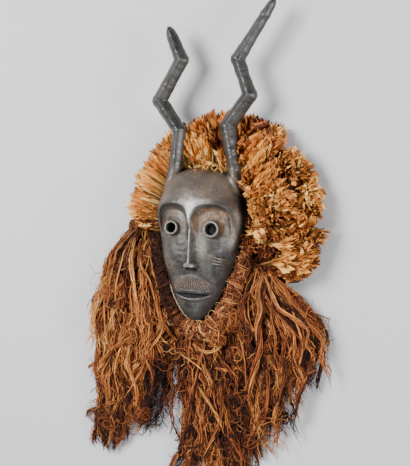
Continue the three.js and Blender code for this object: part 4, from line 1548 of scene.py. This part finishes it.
@dataclass(frozen=True)
class JawBand:
    """The band of knotted bast along the jaw, from ear to ear under the chin. Its places are given by a
    share from -1 to 1 along it, from the left ear to the right, and a share across it."""

    shape: FaceShape = FaceShape()
    reach: Table = ((0, 31), (0.72, 29), (1, 20))  # its width, by share along it
    seed: int = 5
    steps: int = 14  # how many points a tie or a loop has
    # each knot's share along, share across, size and tone; the left knots' low tones are painted shade under
    # the hair
    knots: Table = (
        (0.97, 0.42, 10, 0.35), (0.86, 0.5, 13, 0.42), (0.72, 0.5, 14, 0.5), (0.6, 0.4, 11, 0.4),
        (0.5, 0.62, 11, 0.38), (0.4, 0.48, 15, 0.55), (0.27, 0.68, 14, 0.5), (0.2, 0.3, 10, 0.5),
        (0.1, 0.55, 12, 0.55), (0.0, 0.35, 9, 0.6), (-0.06, 0.75, 10, 0.45), (-0.16, 0.42, 11, 0.5),
        (-0.28, 0.5, 12, 0.24), (-0.4, 0.55, 10, 0.1), (-0.52, 0.45, 9, 0.0), (-0.66, 0.6, 10, 0.0),
        (-0.8, 0.45, 9, 0.0), (-0.93, 0.5, 10, 0.06))
    # each loop's share along and its radius
    loops: Table = ((0.9, 5.0), (0.83, 4.0), (0.62, 6.0), (0.42, 4.5), (0.3, 6.5), (0.22, 5.0), (0.05, 5.5),
                    (-0.03, 6.0), (-0.2, 4.0))
    curls: int = 420

    def place(self, share: Array, across: Array, up: Array) -> Array:
        """Works out places in the band.

        Args:
            share: The share along it.
            across: The share across it, from the rim.
            up: The height over the rim.

        Returns:
            The places.
        """
        share, across, up = (np.asarray(value, float) for value in (share, across, up))
        turn = mix(-90.0, 8.0, np.abs(share))
        point = self.shape.rim_point(np.where(share > 0, turn, 180 - turn),
                                     across * along(self.reach, np.abs(share)))
        return np.concatenate([point, up[..., None]], -1)

    def yarns(self, start: float, end: float, tone: float, rng: Chance) -> Strands:
        """Makes the yarns that run along a stretch of the band, under and between the knots.

        Args:
            start: The share along the band at which they start.
            end: The share at which they end.
            tone: Their middle tone.
            rng: The source of chance.

        Returns:
            The yarns.
        """
        count, steps = 40, int(42 * (end - start))
        each = (count, 1)
        share = np.linspace(start, end, steps)[None, :] * np.ones(each)
        phase = 2 * math.pi * (share * rng.uniform(2.5, 5.5, each) + rng.uniform(0, 1, each))
        across = rng.uniform(0.15, 0.9, each) + 0.16 * np.sin(phase)
        up = 7.5 - 15 * (across - 0.5) ** 2 + 2.2 * np.sin(phase * 1.7)
        line = self.place(share, np.clip(across, 0.06, 1.0), up) + kinks(rng, count, share[:1], ((9, 0.5),))
        tones = np.clip(tone + rng.normal(0, 0.12, count), 0.02, 1)
        return Strands(line, rng.uniform(0.9, 1.6, each) * np.ones((1, steps)), tones)

    def tie(self, share: float, size: float, tone: float, rng: Chance) -> Strands:
        """Makes the turns that tie a knot down across the band.

        Args:
            share: The share along the band.
            size: The knot's size.
            tone: Their middle tone.
            rng: The source of chance.

        Returns:
            The turns.
        """
        count = 3
        each = (count, 1)
        t = np.linspace(0, 1, self.steps)[None, :]
        shares = share + size / 190 + rng.uniform(-0.012, 0.012, each) + rng.uniform(-0.05, 0.05) * t
        across = mix(0.03, 0.95, t) * np.ones(each)
        up = -1 + 13.5 * np.sin(math.pi * mix(0.08, 0.9, t)) ** 0.7 + rng.uniform(-1, 1, each)
        line = self.place(np.clip(shares, -1, 1), across, up) + kinks(rng, count, t, ((1, 0.8),))
        tones = np.clip(tone + rng.normal(0, 0.1, count), 0.1, 1)
        return Strands(line, np.full((count, self.steps), 1.1), tones)

    def loop(self, share: float, size: float, rng: Chance) -> Strands:
        """Returns a pale loop of a radius that stands up on the band's inner edge."""
        t = np.linspace(0, 1, self.steps)[None, :]
        angle = rng.uniform(-0.4, 0.6) + rng.uniform(2.6, 4.2) * t
        line = np.stack([size * np.cos(angle), size * np.sin(angle), 2.0 * np.sin(angle * 1.3)], -1)
        return Strands(line + self.place(share, 0.12, 9.0), 0.95 * mix(1, 0.6, t), rng.uniform(0.85, 1.0, 1))

    def fuzz(self, rng: Chance) -> Strands:
        """Returns the short curled ends that stand out of the knots."""
        count = self.curls
        each = (count, 1)
        t = np.linspace(0, 1, 9)[None, :]
        share = rng.uniform(-1, 1, each) + rng.uniform(-0.06, 0.06, each) * t
        across = rng.uniform(0.1, 0.95, each) + rng.uniform(-0.35, 0.35, each) * t
        up = 7.0 + 6.0 * np.sin(math.pi * t) * rng.uniform(0.2, 1.2, each)
        line = self.place(np.clip(share, -1, 1), np.clip(across, 0.05, 1.05), up)
        line += kinks(rng, count, t, ((0.8, 2.6), (1.7, 1.2)))
        line[..., 2] = np.maximum(line[..., 2], -1.0)
        # the fuzz on the left stretch is darker: painted shade under the left hank
        tones = rng.beta(2, 2, count) * mix(0.22, 0.95, smooth(-0.4, -0.1, share[:, 0]))
        return Strands(line, rng.uniform(0.3, 0.8, each) * mix(1.0, 0.4, t), tones)

    def core(self) -> Object:
        """Returns the band's solid body under the knots, dark as painted shade between them."""
        across = np.array([-0.15, 0.04, 0.14, 0.45, 0.8, 0.93, 0.9, -0.15])
        up = np.array([-0.6, -0.6, 2.0, 4.5, 0.0, GROUND * 0.5, GROUND + CORE_GAP, GROUND + CORE_GAP])
        share = np.linspace(-1, 1, 121)[:, None]
        return dark_core("band_core", self.place(*np.broadcast_arrays(share, across, up)), 0.1)

    def build(self, tree: Tree, finish: Material) -> Object:
        """Grows the band.

        Args:
            tree: The tree for fibres along lines.
            finish: Its finish.

        Returns:
            The finished piece.
        """
        rng = np.random.default_rng(self.seed)
        # the yarns on the left stretch get a darker tone as painted shade under the left hank
        sets = [self.yarns(-1.0, -0.22, 0.03, rng), self.yarns(-0.26, 1.0, 0.3, rng)]
        for share, across, size, tone in self.knots:
            radius = mix(0.7, 1.25, share > -0.3)
            sets.append(tangle(rng, self.place(share, across, 6.5), (size, size, 6.5), 22, tone, radius))
            sets.append(self.tie(share, size, tone + 0.16, rng))
        sets += [self.loop(share, size, rng) for share, size in self.loops]
        sets.append(self.fuzz(rng))
        core = self.core()
        values = {"Sides": 3, "Flatness": 0.75, "Seed": 2, "Core": core, "Finish": finish}
        made = grow(line_carrier("band_lines", sets), tree, values, "knotted_band")
        bpy.data.objects.remove(core)
        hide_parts("jaw_band")
        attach(made, "root")
        return made


# The ruff


@dataclass
class Strips:
    """Many cut strips of raffia: where each is rooted, where it points and faces, its size, its tone and
    which of the forms it has."""

    roots: Array
    heading: Array
    facing: Array
    size: Array
    tone: Array
    form: Array

    def carrier(self, name: str) -> Object:
        """Returns a mesh of bare points that carries all this for the node tree."""
        mesh = bpy.data.meshes.new(name)
        mesh.from_pydata(to_frame(self.roots).tolist(), [], [])
        for key, values in (("heading", self.heading), ("facing", self.facing), ("size", self.size * MM),
                            ("tone", self.tone), ("form", self.form)):
            store(mesh, key, values)
        return linked(name, mesh)


def strips_together(parts: Sequence[Strips]) -> Strips:
    """Joins several sets of strips."""
    names = [column.name for column in fields(Strips)]
    return Strips(*(np.concatenate([getattr(part, name) for part in parts]) for name in names))


def strip_tree() -> Tree:
    """Returns the tree that plants a strip on each point of a carrier, over a core."""
    tree, given = start_tree("strips_on_points", {"Forms": "Collection", "Jitter": "Float"})
    heading, facing, size, form = (
        add(tree, "GeometryNodeInputNamedAttribute", {"Name": name}, data_type=kind).outputs["Attribute"]
        for name, kind in (("heading", "FLOAT_VECTOR"), ("facing", "FLOAT_VECTOR"), ("size", "FLOAT_VECTOR"),
                           ("form", "INT")))
    turn = add(tree, "FunctionNodeAxesToRotation", {0: heading, 1: facing}, primary_axis="Z",
               secondary_axis="Y")
    low = add(tree, "ShaderNodeMath", {0: 1.0, 1: given.outputs["Jitter"]}, operation="SUBTRACT")
    chance = add(tree, "FunctionNodeRandomValue",
                 {2: low.outputs[0], 3: 1.0, "Seed": given.outputs["Seed"]}, data_type="FLOAT")
    scale = add(tree, "ShaderNodeVectorMath", {0: size, "Scale": chance.outputs[1]}, operation="SCALE")
    forms = add(tree, "GeometryNodeCollectionInfo", {
        "Collection": given.outputs["Forms"], "Separate Children": True, "Reset Children": True})
    planted = add(tree, "GeometryNodeInstanceOnPoints", {
        "Points": given.outputs["Geometry"], "Instance": forms.outputs[0], "Pick Instance": True,
        "Instance Index": form, "Rotation": turn.outputs[0], "Scale": scale.outputs[0]})
    end_tree(tree, given, planted.outputs[0], False)
    return tree


@dataclass(frozen=True)
class StripForm:
    """A strip of length 1 along +Z and width 1, curled towards +Y."""

    curl: float  # in degrees, as is the twist
    twist: float
    tip: float  # how wide it is at its tip
    cup: float = 0.05  # how hollow it is across
    slant: float = 0.08  # how slanting its tip is cut
    thick: float = 0.03
    rise: float = 0.12  # how far the twist lifts one edge over the other
    rings: int = 5

    def build(self, name: str) -> Object:
        """Makes the strip.

        Args:
            name: The object's name.

        Returns:
            A thin closed mesh that carries reach and across, not linked to the scene.
        """
        t = np.linspace(0, 1, self.rings)
        angle = np.radians(self.curl) * t**1.3
        step = 1 / (self.rings - 1)
        middle = (angle[1:] + angle[:-1]) / 2
        z, y = (np.concatenate([[0], np.cumsum(way(middle) * step)]) for way in (np.cos, np.sin))
        half = 0.5 * np.interp(t, [0, 0.25, 0.75, 1], [0.5, 0.95, 1.0, self.tip])
        roll = np.radians(self.twist) * t
        corners = ((-1, 0.0), (1, 0.0), (-0.15, 1.0))
        places = []
        for k in range(self.rings):
            for across, side in corners:
                x = across * half[k]
                out = side * self.thick / 2 * (1 - 0.5 * t[k]) + self.cup * across**2
                out += self.rise * across * math.sin(roll[k])
                slant = self.slant * across * t[k] ** 3
                places.append((x * math.cos(roll[k]), y[k] + out * math.cos(angle[k]),
                               z[k] - out * math.sin(angle[k]) + slant))
        mesh = bpy.data.meshes.new(name)
        mesh.from_pydata(places, [], tube_faces(self.rings, len(corners)))
        store(mesh, "reach", np.repeat(t, len(corners)))
        store(mesh, "across", np.tile([corner[0] for corner in corners], self.rings))
        return bpy.data.objects.new(name, mesh)


FORMS = (StripForm(8, 15, 0.8), StripForm(35, -40, 0.55), StripForm(75, 30, 0.45), StripForm(-35, 35, 0.7),
         StripForm(125, -20, 0.4), StripForm(-70, 60, 0.6), StripForm(20, 80, 0.95), StripForm(55, -70, 0.3))


@dataclass(frozen=True)
class Zone:
    """A stretch of the ruff. Its strips grow in tufts, splayed out from each tuft's middle."""

    share: tuple[float, float]  # its stretch of the ruff's length
    across: tuple[float, float]  # its stretch of the skin, from inner foot to outer foot
    tufts: tuple[int, int]  # how many tufts it has along and across
    strips: int  # how many strips a tuft has
    length: tuple[float, float]
    width: tuple[float, float]
    outward: float  # how much the strips point straight out of the skin,
    radial: float  # away from the face,
    splay: float  # away from their tuft's middle,
    stray: float  # and anywhere
    tone: float
    tone_spread: float
    forms: tuple[int, ...]  # the forms that its strips have, by number
    hollow: float  # how much deeper the tips lie at a tuft's edge
    flat: float  # how much the strips' broad sides face out of the ruff
    drift: float  # how far each tuft leans its own way
    patchy: float  # how much the tone differs from tuft to tuft


ZONES = (
    Zone((0.02, 0.42), (0.06, 0.88), (8, 4), 66, (34, 62), (1.4, 4.4), 0.10, 1.0, 0.04, 0.05, 0.76, 0.14,
         (0, 0, 0, 1, 3, 6), 1.0, 1.0, 0.06, 0.1),
    Zone((0.0, 0.09), (0.1, 0.8), (2, 4), 34, (14, 28), (1.8, 4.2), 0.4, 0.8, 0.4, 0.2, 0.34, 0.14,
         (1, 2, 3, 5), 2.0, 0.6, 0.4, 0.16),
    Zone((0.06, 0.34), (0.66, 0.97), (7, 2), 36, (12, 24), (1.6, 4.0), 0.3, 1.0, 0.5, 0.25, 0.5, 0.18,
         (1, 2, 3, 5), 1.5, 0.6, 0.2, 0.14),
    Zone((0.38, 0.59), (0.56, 0.97), (9, 2), 50, (26, 56), (2.3, 5.8), 0.26, 1.0, 0.35, 0.16, 0.36, 0.15,
         (0, 1, 2, 3, 5, 7), 6.0, 0.7, 0.5, 0.14),
    Zone((0.38, 0.57), (0.05, 0.62), (6, 3), 34, (26, 52), (3.0, 9.0), 0.24, 1.0, 0.18, 0.12, 0.6, 0.12,
         (0, 0, 1, 3, 6, 4), 7.0, 1.0, 0.35, 0.24),
    Zone((0.53, 0.64), (0.22, 0.74), (3, 2), 38, (34, 62), (2.4, 6.0), 0.1, 1.0, 0.06, 0.05, 0.72, 0.1,
         (0, 0, 0, 1, 3, 6), 2.0, 1.0, 0.08, 0.12),
    Zone((0.56, 0.86), (0.05, 0.98), (10, 7), 52, (16, 34), (1.5, 4.6), 0.4, 0.35, 0.12, 0.08, 0.56, 0.19,
         (0, 1, 2, 2, 5, 7, 4), 12.0, 0.8, 0.9, 0.14),
    Zone((0.86, 0.95), (0.56, 0.88), (2, 2), 30, (30, 46), (2.6, 6.4), 0.12, 1.0, 0.42, 0.06, 0.66, 0.1,
         (0, 1, 0, 3), 3.0, 1.0, 0.15, 0.1),
    Zone((0.83, 0.97), (0.08, 0.5), (4, 3), 34, (10, 20), (1.4, 3.4), 0.5, 0.6, 0.3, 0.2, 0.2, 0.1,
         (1, 2, 3, 5), 4.0, 0.4, 0.5, 0.1),
    Zone((0.84, 0.99), (0.5, 0.98), (6, 4), 44, (10, 20), (1.2, 2.8), 0.8, 0.5, 0.3, 0.15, 0.36, 0.16,
         (0, 1, 3, 6), 3.0, 0.1, 0.1, 0.1),
)


@dataclass(frozen=True)
class RaffiaRuff:
    """The ruff of cut raffia behind the head, from the left ear over the crown to the right cheek."""

    shape: FaceShape = FaceShape()
    seed: int = 41
    shreds: int = 34
    leaves: int = 4
    # its inner edge's turn round the rim and distance out from it, its outer edge's x and y, and its top
    stations: Table = (
        (174, -6, -134, 2, 6), (164, -6, -137, 30, 12), (150, -6, -129, 64, 12), (135, -6, -115, 100, 9),
        (120, -6, -95, 135, 4), (105, -6, -58, 170, 2), (90, -6, -6, 187, 6), (75, -6, 42, 189, 4),
        (61, -6, 90, 178, 8), (48, -6, 126, 153, 26), (36, -6, 162, 115, 36), (24, -4, 184, 76, 40),
        (12, -2, 194, 30, 40), (2, 8, 195, -14, 34), (-8, 36, 186, -52, 24), (-16, 70, 160, -76, 2))
    # its breadth and height, by the share round it from its inner foot to its outer one
    section: Table = ((0, 0, 0), (0.08, 0.0, 0.9), (0.2, 0.14, 0.95), (0.42, 0.4, 1.02), (0.66, 0.72, 0.92),
                      (0.84, 0.93, 0.64), (0.95, 1.02, 0.34), (1.0, 0.9, 0))

    def read(self, share: Array, column: int) -> Array:
        """Returns a column of the stations at a share of the ruff's length."""
        values = [station[column] for station in self.stations]
        return along(np.column_stack([np.linspace(0, 1, len(values)), values]), share)

    def point(self, share: Array, breadth: Array, height: Array) -> Array:
        """Works out places in the ruff.

        Args:
            share: The share of its length.
            breadth: The share of its breadth.
            height: The share of its height over the ground.

        Returns:
            The places.
        """
        inner = self.shape.rim_point(self.read(share, 0), self.read(share, 1))
        outer = np.stack([self.read(share, 2), self.read(share, 3)], -1)
        flat = mix(inner, outer, np.asarray(breadth)[..., None])
        z = GROUND + (self.read(share, 4) - GROUND) * height
        return np.concatenate([flat, z[..., None]], -1)

    def skin(self, share: Array, v: Array, size: Any = 1.0) -> Array:
        """Works out places on the ruff's skin.

        Args:
            share: The share of its length.
            v: The share round it, from its inner foot over the top to its outer foot.
            size: How large the skin is, 1 for the full one.

        Returns:
            The places.
        """
        table = np.asarray(self.section, float)
        breadth, height = (along(table[:, [0, k]], v) for k in (1, 2))
        return self.point(share, mix(0.5, breadth, size), height * size)

    def normals(self, share: Array, v: Array) -> Array:
        """Works out the directions straight out of the skin.

        Args:
            share: The share of its length.
            v: The share round it.

        Returns:
            A direction for each place.
        """
        step = 0.004
        ahead = self.skin(np.clip(share + step, 0, 1), v) - self.skin(np.clip(share - step, 0, 1), v)
        over = self.skin(share, np.clip(v + step, 0, 1)) - self.skin(share, np.clip(v - step, 0, 1))
        out = unit(np.cross(ahead, over))
        centre = self.point(share, np.full_like(share, 0.5), np.full_like(share, 0.2))
        away = np.einsum("ij,ij->i", out, self.skin(share, v) - centre)
        return out * np.where(away < 0, -1, 1)[:, None]

    def core(self) -> Object:
        """Returns the dense body that shows between the strips, dark as painted shade."""
        share, v = np.meshgrid(np.linspace(0.004, 0.996, 120), np.linspace(0.03, 0.985, 22), indexing="ij")
        rings = self.skin(share, v, mix(0.8, 0.68, smooth(0.3, 0.5, share)))
        rings[..., 2] = np.maximum(rings[..., 2], GROUND + CORE_GAP)
        return dark_core("ruff_core", rings, 0.04)

    def strips(self, zone: Zone, rng: Chance) -> Strips:
        """Makes the strips of one stretch of the ruff, whose tips end in the ruff's skin.

        Args:
            zone: The stretch.
            rng: The source of chance.

        Returns:
            The strips that don't cross the face or the ground.
        """
        rows, columns = zone.tufts
        row, column = np.indices((rows, columns)).reshape(2, -1)
        tufts = rows * columns
        tuft_share = mix(*zone.share, (row + 0.5 * (column % 2) + rng.uniform(0, 0.7, tufts)) / rows)
        tuft_v = mix(*zone.across, (column + rng.uniform(0.15, 0.85, tufts)) / columns)
        pick = np.repeat(np.arange(tufts), zone.strips)
        count = len(pick)
        tuft_length = 0.62 * (zone.share[1] - zone.share[0]) / rows
        tuft_breadth = 0.62 * (zone.across[1] - zone.across[0]) / columns
        angle, rho = rng.uniform(0, 2 * math.pi, count), np.sqrt(rng.uniform(0, 1, count))
        share = np.clip(tuft_share[pick] + tuft_length * rho * np.cos(angle), 0, 1)
        v = np.clip(tuft_v[pick] + tuft_breadth * rho * np.sin(angle), 0.02, 0.99)
        out = self.normals(share, v)
        tips = self.skin(share, v) - out * (zone.hollow * rho**2 + rng.uniform(0, 3, count))[:, None]
        splay = unit(tips - self.skin(np.clip(tuft_share[pick], 0, 1), tuft_v[pick])) * rho[:, None]
        half_up = np.full(count, 0.5)
        radial = self.point(share, np.ones(count), half_up) - self.point(share, np.zeros(count), half_up)
        chance = unit(rng.normal(0, 1, (count, 3)))
        drift = unit(in_plane(rng.normal(0, 1, (tufts, 3))[pick], out))
        heading = unit(zone.outward * out + zone.radial * unit(radial) + zone.splay * splay
                       + zone.drift * drift + zone.stray * chance)
        length, width = rng.uniform(*zone.length, count), rng.uniform(*zone.width, count)
        roots = tips - heading * length[:, None] * 0.92
        facing = unit(zone.flat * unit(in_plane(out, heading)) + 0.6 * unit(rng.normal(0, 1, (count, 3))))
        tones = zone.tone + zone.patchy * rng.normal(0, 1, tufts)[pick]
        tones = np.clip(tones + zone.tone_spread * rng.normal(0, 1, count), 0.03, 1)
        form = rng.choice(zone.forms, count)
        clear = self.clear_of_face(tips) & self.clear_of_face(roots + heading * 6) & (tips[:, 2] > GROUND + 7)
        size = np.column_stack([width, length, length])
        return Strips(*(column[clear] for column in (roots, heading, facing, size, tones, form)))

    def shavings(self, rng: Chance) -> Strips:
        """Returns the pale curled shreds that hang over the crown's edge."""
        count = self.shreds
        roots = np.column_stack([rng.normal(14, 12, count), rng.uniform(94, 108, count),
                                 rng.uniform(26, 44, count)])
        heading = unit(rng.normal((0, -0.6, 0.5), (0.9, 0.6, 0.4), (count, 3)))
        length = rng.uniform(7, 20, count)
        size = np.column_stack([rng.uniform(0.5, 1.6, count), length, length])
        return Strips(roots, heading, unit(rng.normal(0, 1, (count, 3))), size, rng.uniform(0.5, 0.95, count),
                      rng.choice((2, 4, 5), count))

    def leaf(self, rng: Chance) -> Strips:
        """Returns the broad pale leaf that stands alone beside the right eye."""
        count = self.leaves
        roots = rng.normal((115, -17, 37), (1.5, 2, 1.5), (count, 3))
        heading = unit(rng.normal((-0.15, 0.9, 0.1), (0.25, 0.1, 0.1), (count, 3)))
        facing = unit(rng.normal((0.3, -0.05, 0.9), 0.12, (count, 3)))
        length = rng.uniform(21, 29, count)
        size = np.column_stack([rng.uniform(8, 11, count), length, length])
        return Strips(roots, heading, facing, size, rng.uniform(0.84, 0.92, count),
                      rng.choice((0, 0, 3), count))

    def clear_of_face(self, places: Array) -> Array:
        """Tells which places the strips may fill.

        Args:
            places: The places.

        Returns:
            Whether each lies outside the face's outline or behind its rim.
        """
        x, y, z = places.T
        edge = self.shape.half_width(np.clip(y, -146, 98.9))
        left = x < -edge - 2
        right = x - 0.34 * np.maximum(z, 0) > edge + mix(2, 3, smooth(88, 76, y))
        return left | right | (y > self.shape.top) | (z < -8)

    def build(self, tree: Tree, finish: Material) -> list[Object]:
        """Grows the ruff.

        Args:
            tree: The tree for strips on points.
            finish: Its finish.

        Returns:
            Its left and its right piece.
        """
        forms = bpy.data.collections.new("strip_forms")
        for i, form in enumerate(FORMS):
            forms.objects.link(form.build(f"strip_form_{i}"))
        rng = np.random.default_rng(self.seed)
        core = self.core()
        pieces = []
        for name, zones, inner, extra in (("raffia_crest", ZONES[:5], core, self.shavings),
                                          ("raffia_lobe", ZONES[5:], None, self.leaf)):
            carrier = strips_together([*(self.strips(zone, rng) for zone in zones), extra(rng)]).carrier(name)
            piece = grow(carrier, tree, {"Forms": forms, "Jitter": 0.2, "Seed": 3, "Core": inner,
                                         "Finish": finish}, name)
            keep_on_ground(piece.data)
            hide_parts("raffia_ruff")
            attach(piece, "root")
            pieces.append(piece)
        for spent in (*forms.objects, core):
            bpy.data.objects.remove(spent)
        bpy.data.collections.remove(forms)
        return pieces


@dataclass(frozen=True)
class JawCord:
    """The thin pale cord that lashes the left lower jaw, twisted of two strands."""

    shape: FaceShape = FaceShape()
    turns: tuple[float, ...] = (212, 218, 225, 232, 239, 245, 251, 256)  # its stops, in degrees round the rim
    radius: float = 0.9
    strand: float = 0.62  # the radius of each of the two strands that wind round each other
    apart: float = 0.45  # how far each lies from the cord's middle line
    windings: float = 46.0  # how far they wind, in radians

    def route(self) -> Array:
        """Returns the cord's middle line, lying against the carved wall."""
        turns = np.interp(np.linspace(0, len(self.turns) - 1, 90), np.arange(len(self.turns)), self.turns)
        rim = self.shape.rim_point(turns, np.zeros_like(turns))
        out = self.shape.rim_point(turns, np.ones_like(turns)) - rim
        y = rim[:, 1]
        whole = self.shape.ellipse(y) * along(self.shape.face_heights, y)
        level = np.minimum(15, 0.5 * whole)
        share = (1 - np.minimum(1, level / whole) ** 2) ** (1 / self.shape.squareness(y))
        flat = np.column_stack([rim[:, 0] * share, y]) + out * (self.radius + 0.5)
        return np.column_stack([flat, level])

    def build(self, tree: Tree, finish: Material) -> Object:
        """Makes the cord.

        Args:
            tree: The tree for fibres along lines.
            finish: Its finish.

        Returns:
            The finished piece.
        """
        line = self.route()
        turn = np.linspace(0, self.windings, len(line))
        side = np.stack([np.cos(turn), np.zeros_like(turn), np.sin(turn)], -1) * self.apart
        lines = np.array([line + side, line - side])
        sets = [Strands(lines, np.full(lines.shape[:2], self.strand), np.array([0.5, 0.8]))]
        made = grow(line_carrier("cord_lines", sets), tree, {"Sides": 6, "Flatness": 1.0, "Finish": finish},
                    "lashing_cord")
        lean(made.data)
        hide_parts("jaw_cord")
        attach(made, "root")
        return made


# The studio


@dataclass(frozen=True)
class Studio:
    """A plain pale floor, soft light and the camera at the photograph's viewing angle."""

    pixel_mm: float = 1.6  # what one pixel of the photograph covers at the object
    width_px: int = 410  # the photograph's size
    height_px: int = 466
    origin_px: tuple[float, float] = (203.482, 229.733)  # where the mask's own origin stands in it
    yaw: float = 20.0
    roll: float = -2.8
    distance: float = 1.8
    floor_half: float = 4.0
    floor_colour: str = "cfd0d2"
    sky_colour: str = "e6e9ee"
    sky_strength: float = 0.31
    aim_height: float = 0.03  # the level that the lamps point at

    def camera(self) -> None:
        """Adds the camera, which looks down on the mask from its right."""
        yaw, roll = math.radians(self.yaw), math.radians(self.roll)
        back = Vector((math.sin(yaw), 0, math.cos(yaw)))
        level = Vector((0, 1, 0)).cross(back)
        steep = back.cross(level)
        right = level * math.cos(roll) - steep * math.sin(roll)
        up = level * math.sin(roll) + steep * math.cos(roll)
        pixel = self.pixel_mm * MM
        off_right = (self.width_px / 2 - self.origin_px[0]) * pixel
        off_down = (self.height_px / 2 - self.origin_px[1]) * pixel
        data = bpy.data.cameras.new("studio_camera")
        data.sensor_fit = "VERTICAL"
        data.sensor_height = 36.0
        data.lens = data.sensor_height * self.distance / (self.height_px * pixel)
        place = Matrix((right, up, back)).transposed().to_4x4()
        place.translation = Vector(ORIGIN) + right * off_right - up * off_down + back * self.distance
        made = linked("studio_camera", data)
        made.matrix_world = place
        bpy.context.scene.camera = made

    def lamp(self, name: str, place: tuple[float, float, float], size: float, power: float) -> None:
        """Adds a soft square lamp that points at the mask.

        Args:
            name: The lamp's name.
            place: Where it hangs, in metres.
            size: Its side, in metres.
            power: Its power, in watts.
        """
        data = bpy.data.lights.new(name, "AREA")
        data.shape = "SQUARE"
        data.size = size
        data.energy = power
        made = linked(name, data)
        made.location = place
        ahead = Vector((0, 0, self.aim_height)) - Vector(place)
        made.rotation_euler = ahead.to_track_quat("-Z", "Y").to_euler()

    def floor(self) -> None:
        """Lays the pale floor."""
        mesh = bpy.data.meshes.new("studio_floor")
        half = self.floor_half
        mesh.from_pydata([(-half, -half, 0), (half, -half, 0), (half, half, 0), (-half, half, 0)], [],
                         [(0, 1, 2, 3)])
        paper, tree, shader = bare_material("matt background paper")
        feed(tree, shader, {"Base Color": linear(self.floor_colour), "Roughness": 0.9})
        mesh.materials.append(paper)
        made = linked("studio_floor", mesh)

    def build(self) -> None:
        """Sets up the camera, the floor and the light."""
        self.camera()
        self.floor()
        self.lamp("window", (-0.85, 0.5, 1.6), 0.9, 64)
        self.lamp("wall", (1.5, 0.05, 0.85), 0.5, 22)
        self.lamp("low_fill", (0.2, -1.25, 1.1), 0.8, 7)
        world = bpy.data.worlds.new("studio_world")
        world.use_nodes = True
        feed(world.node_tree, world.node_tree.nodes["Background"],
             {"Color": linear(self.sky_colour), "Strength": self.sky_strength})
        bpy.context.scene.world = world


def main() -> None:
    """Builds the mask piece by piece, then the studio."""
    logging.basicConfig(level=logging.INFO, format="%(message)s")
    Studio().build()
    lines, points = strand_tree(), strip_tree()
    finishes = {fibre: fibre.value.material() for fibre in Fibre}
    made = [CarvedMask().build(), JawBand().build(lines, finishes[Fibre.BAND])]
    made += [hank.build(lines, finishes[Fibre.HAIR]) for hank in HANKS]
    made += RaffiaRuff().build(points, finishes[Fibre.RAFFIA])
    made.append(JawCord().build(lines, finishes[Fibre.CORD]))
    for piece in made:
        triangles = sum(len(face.vertices) - 2 for face in piece.data.polygons)
        LOG.info("%s: %d triangles", piece.name, triangles)


if __name__ == "__main__":
    main()
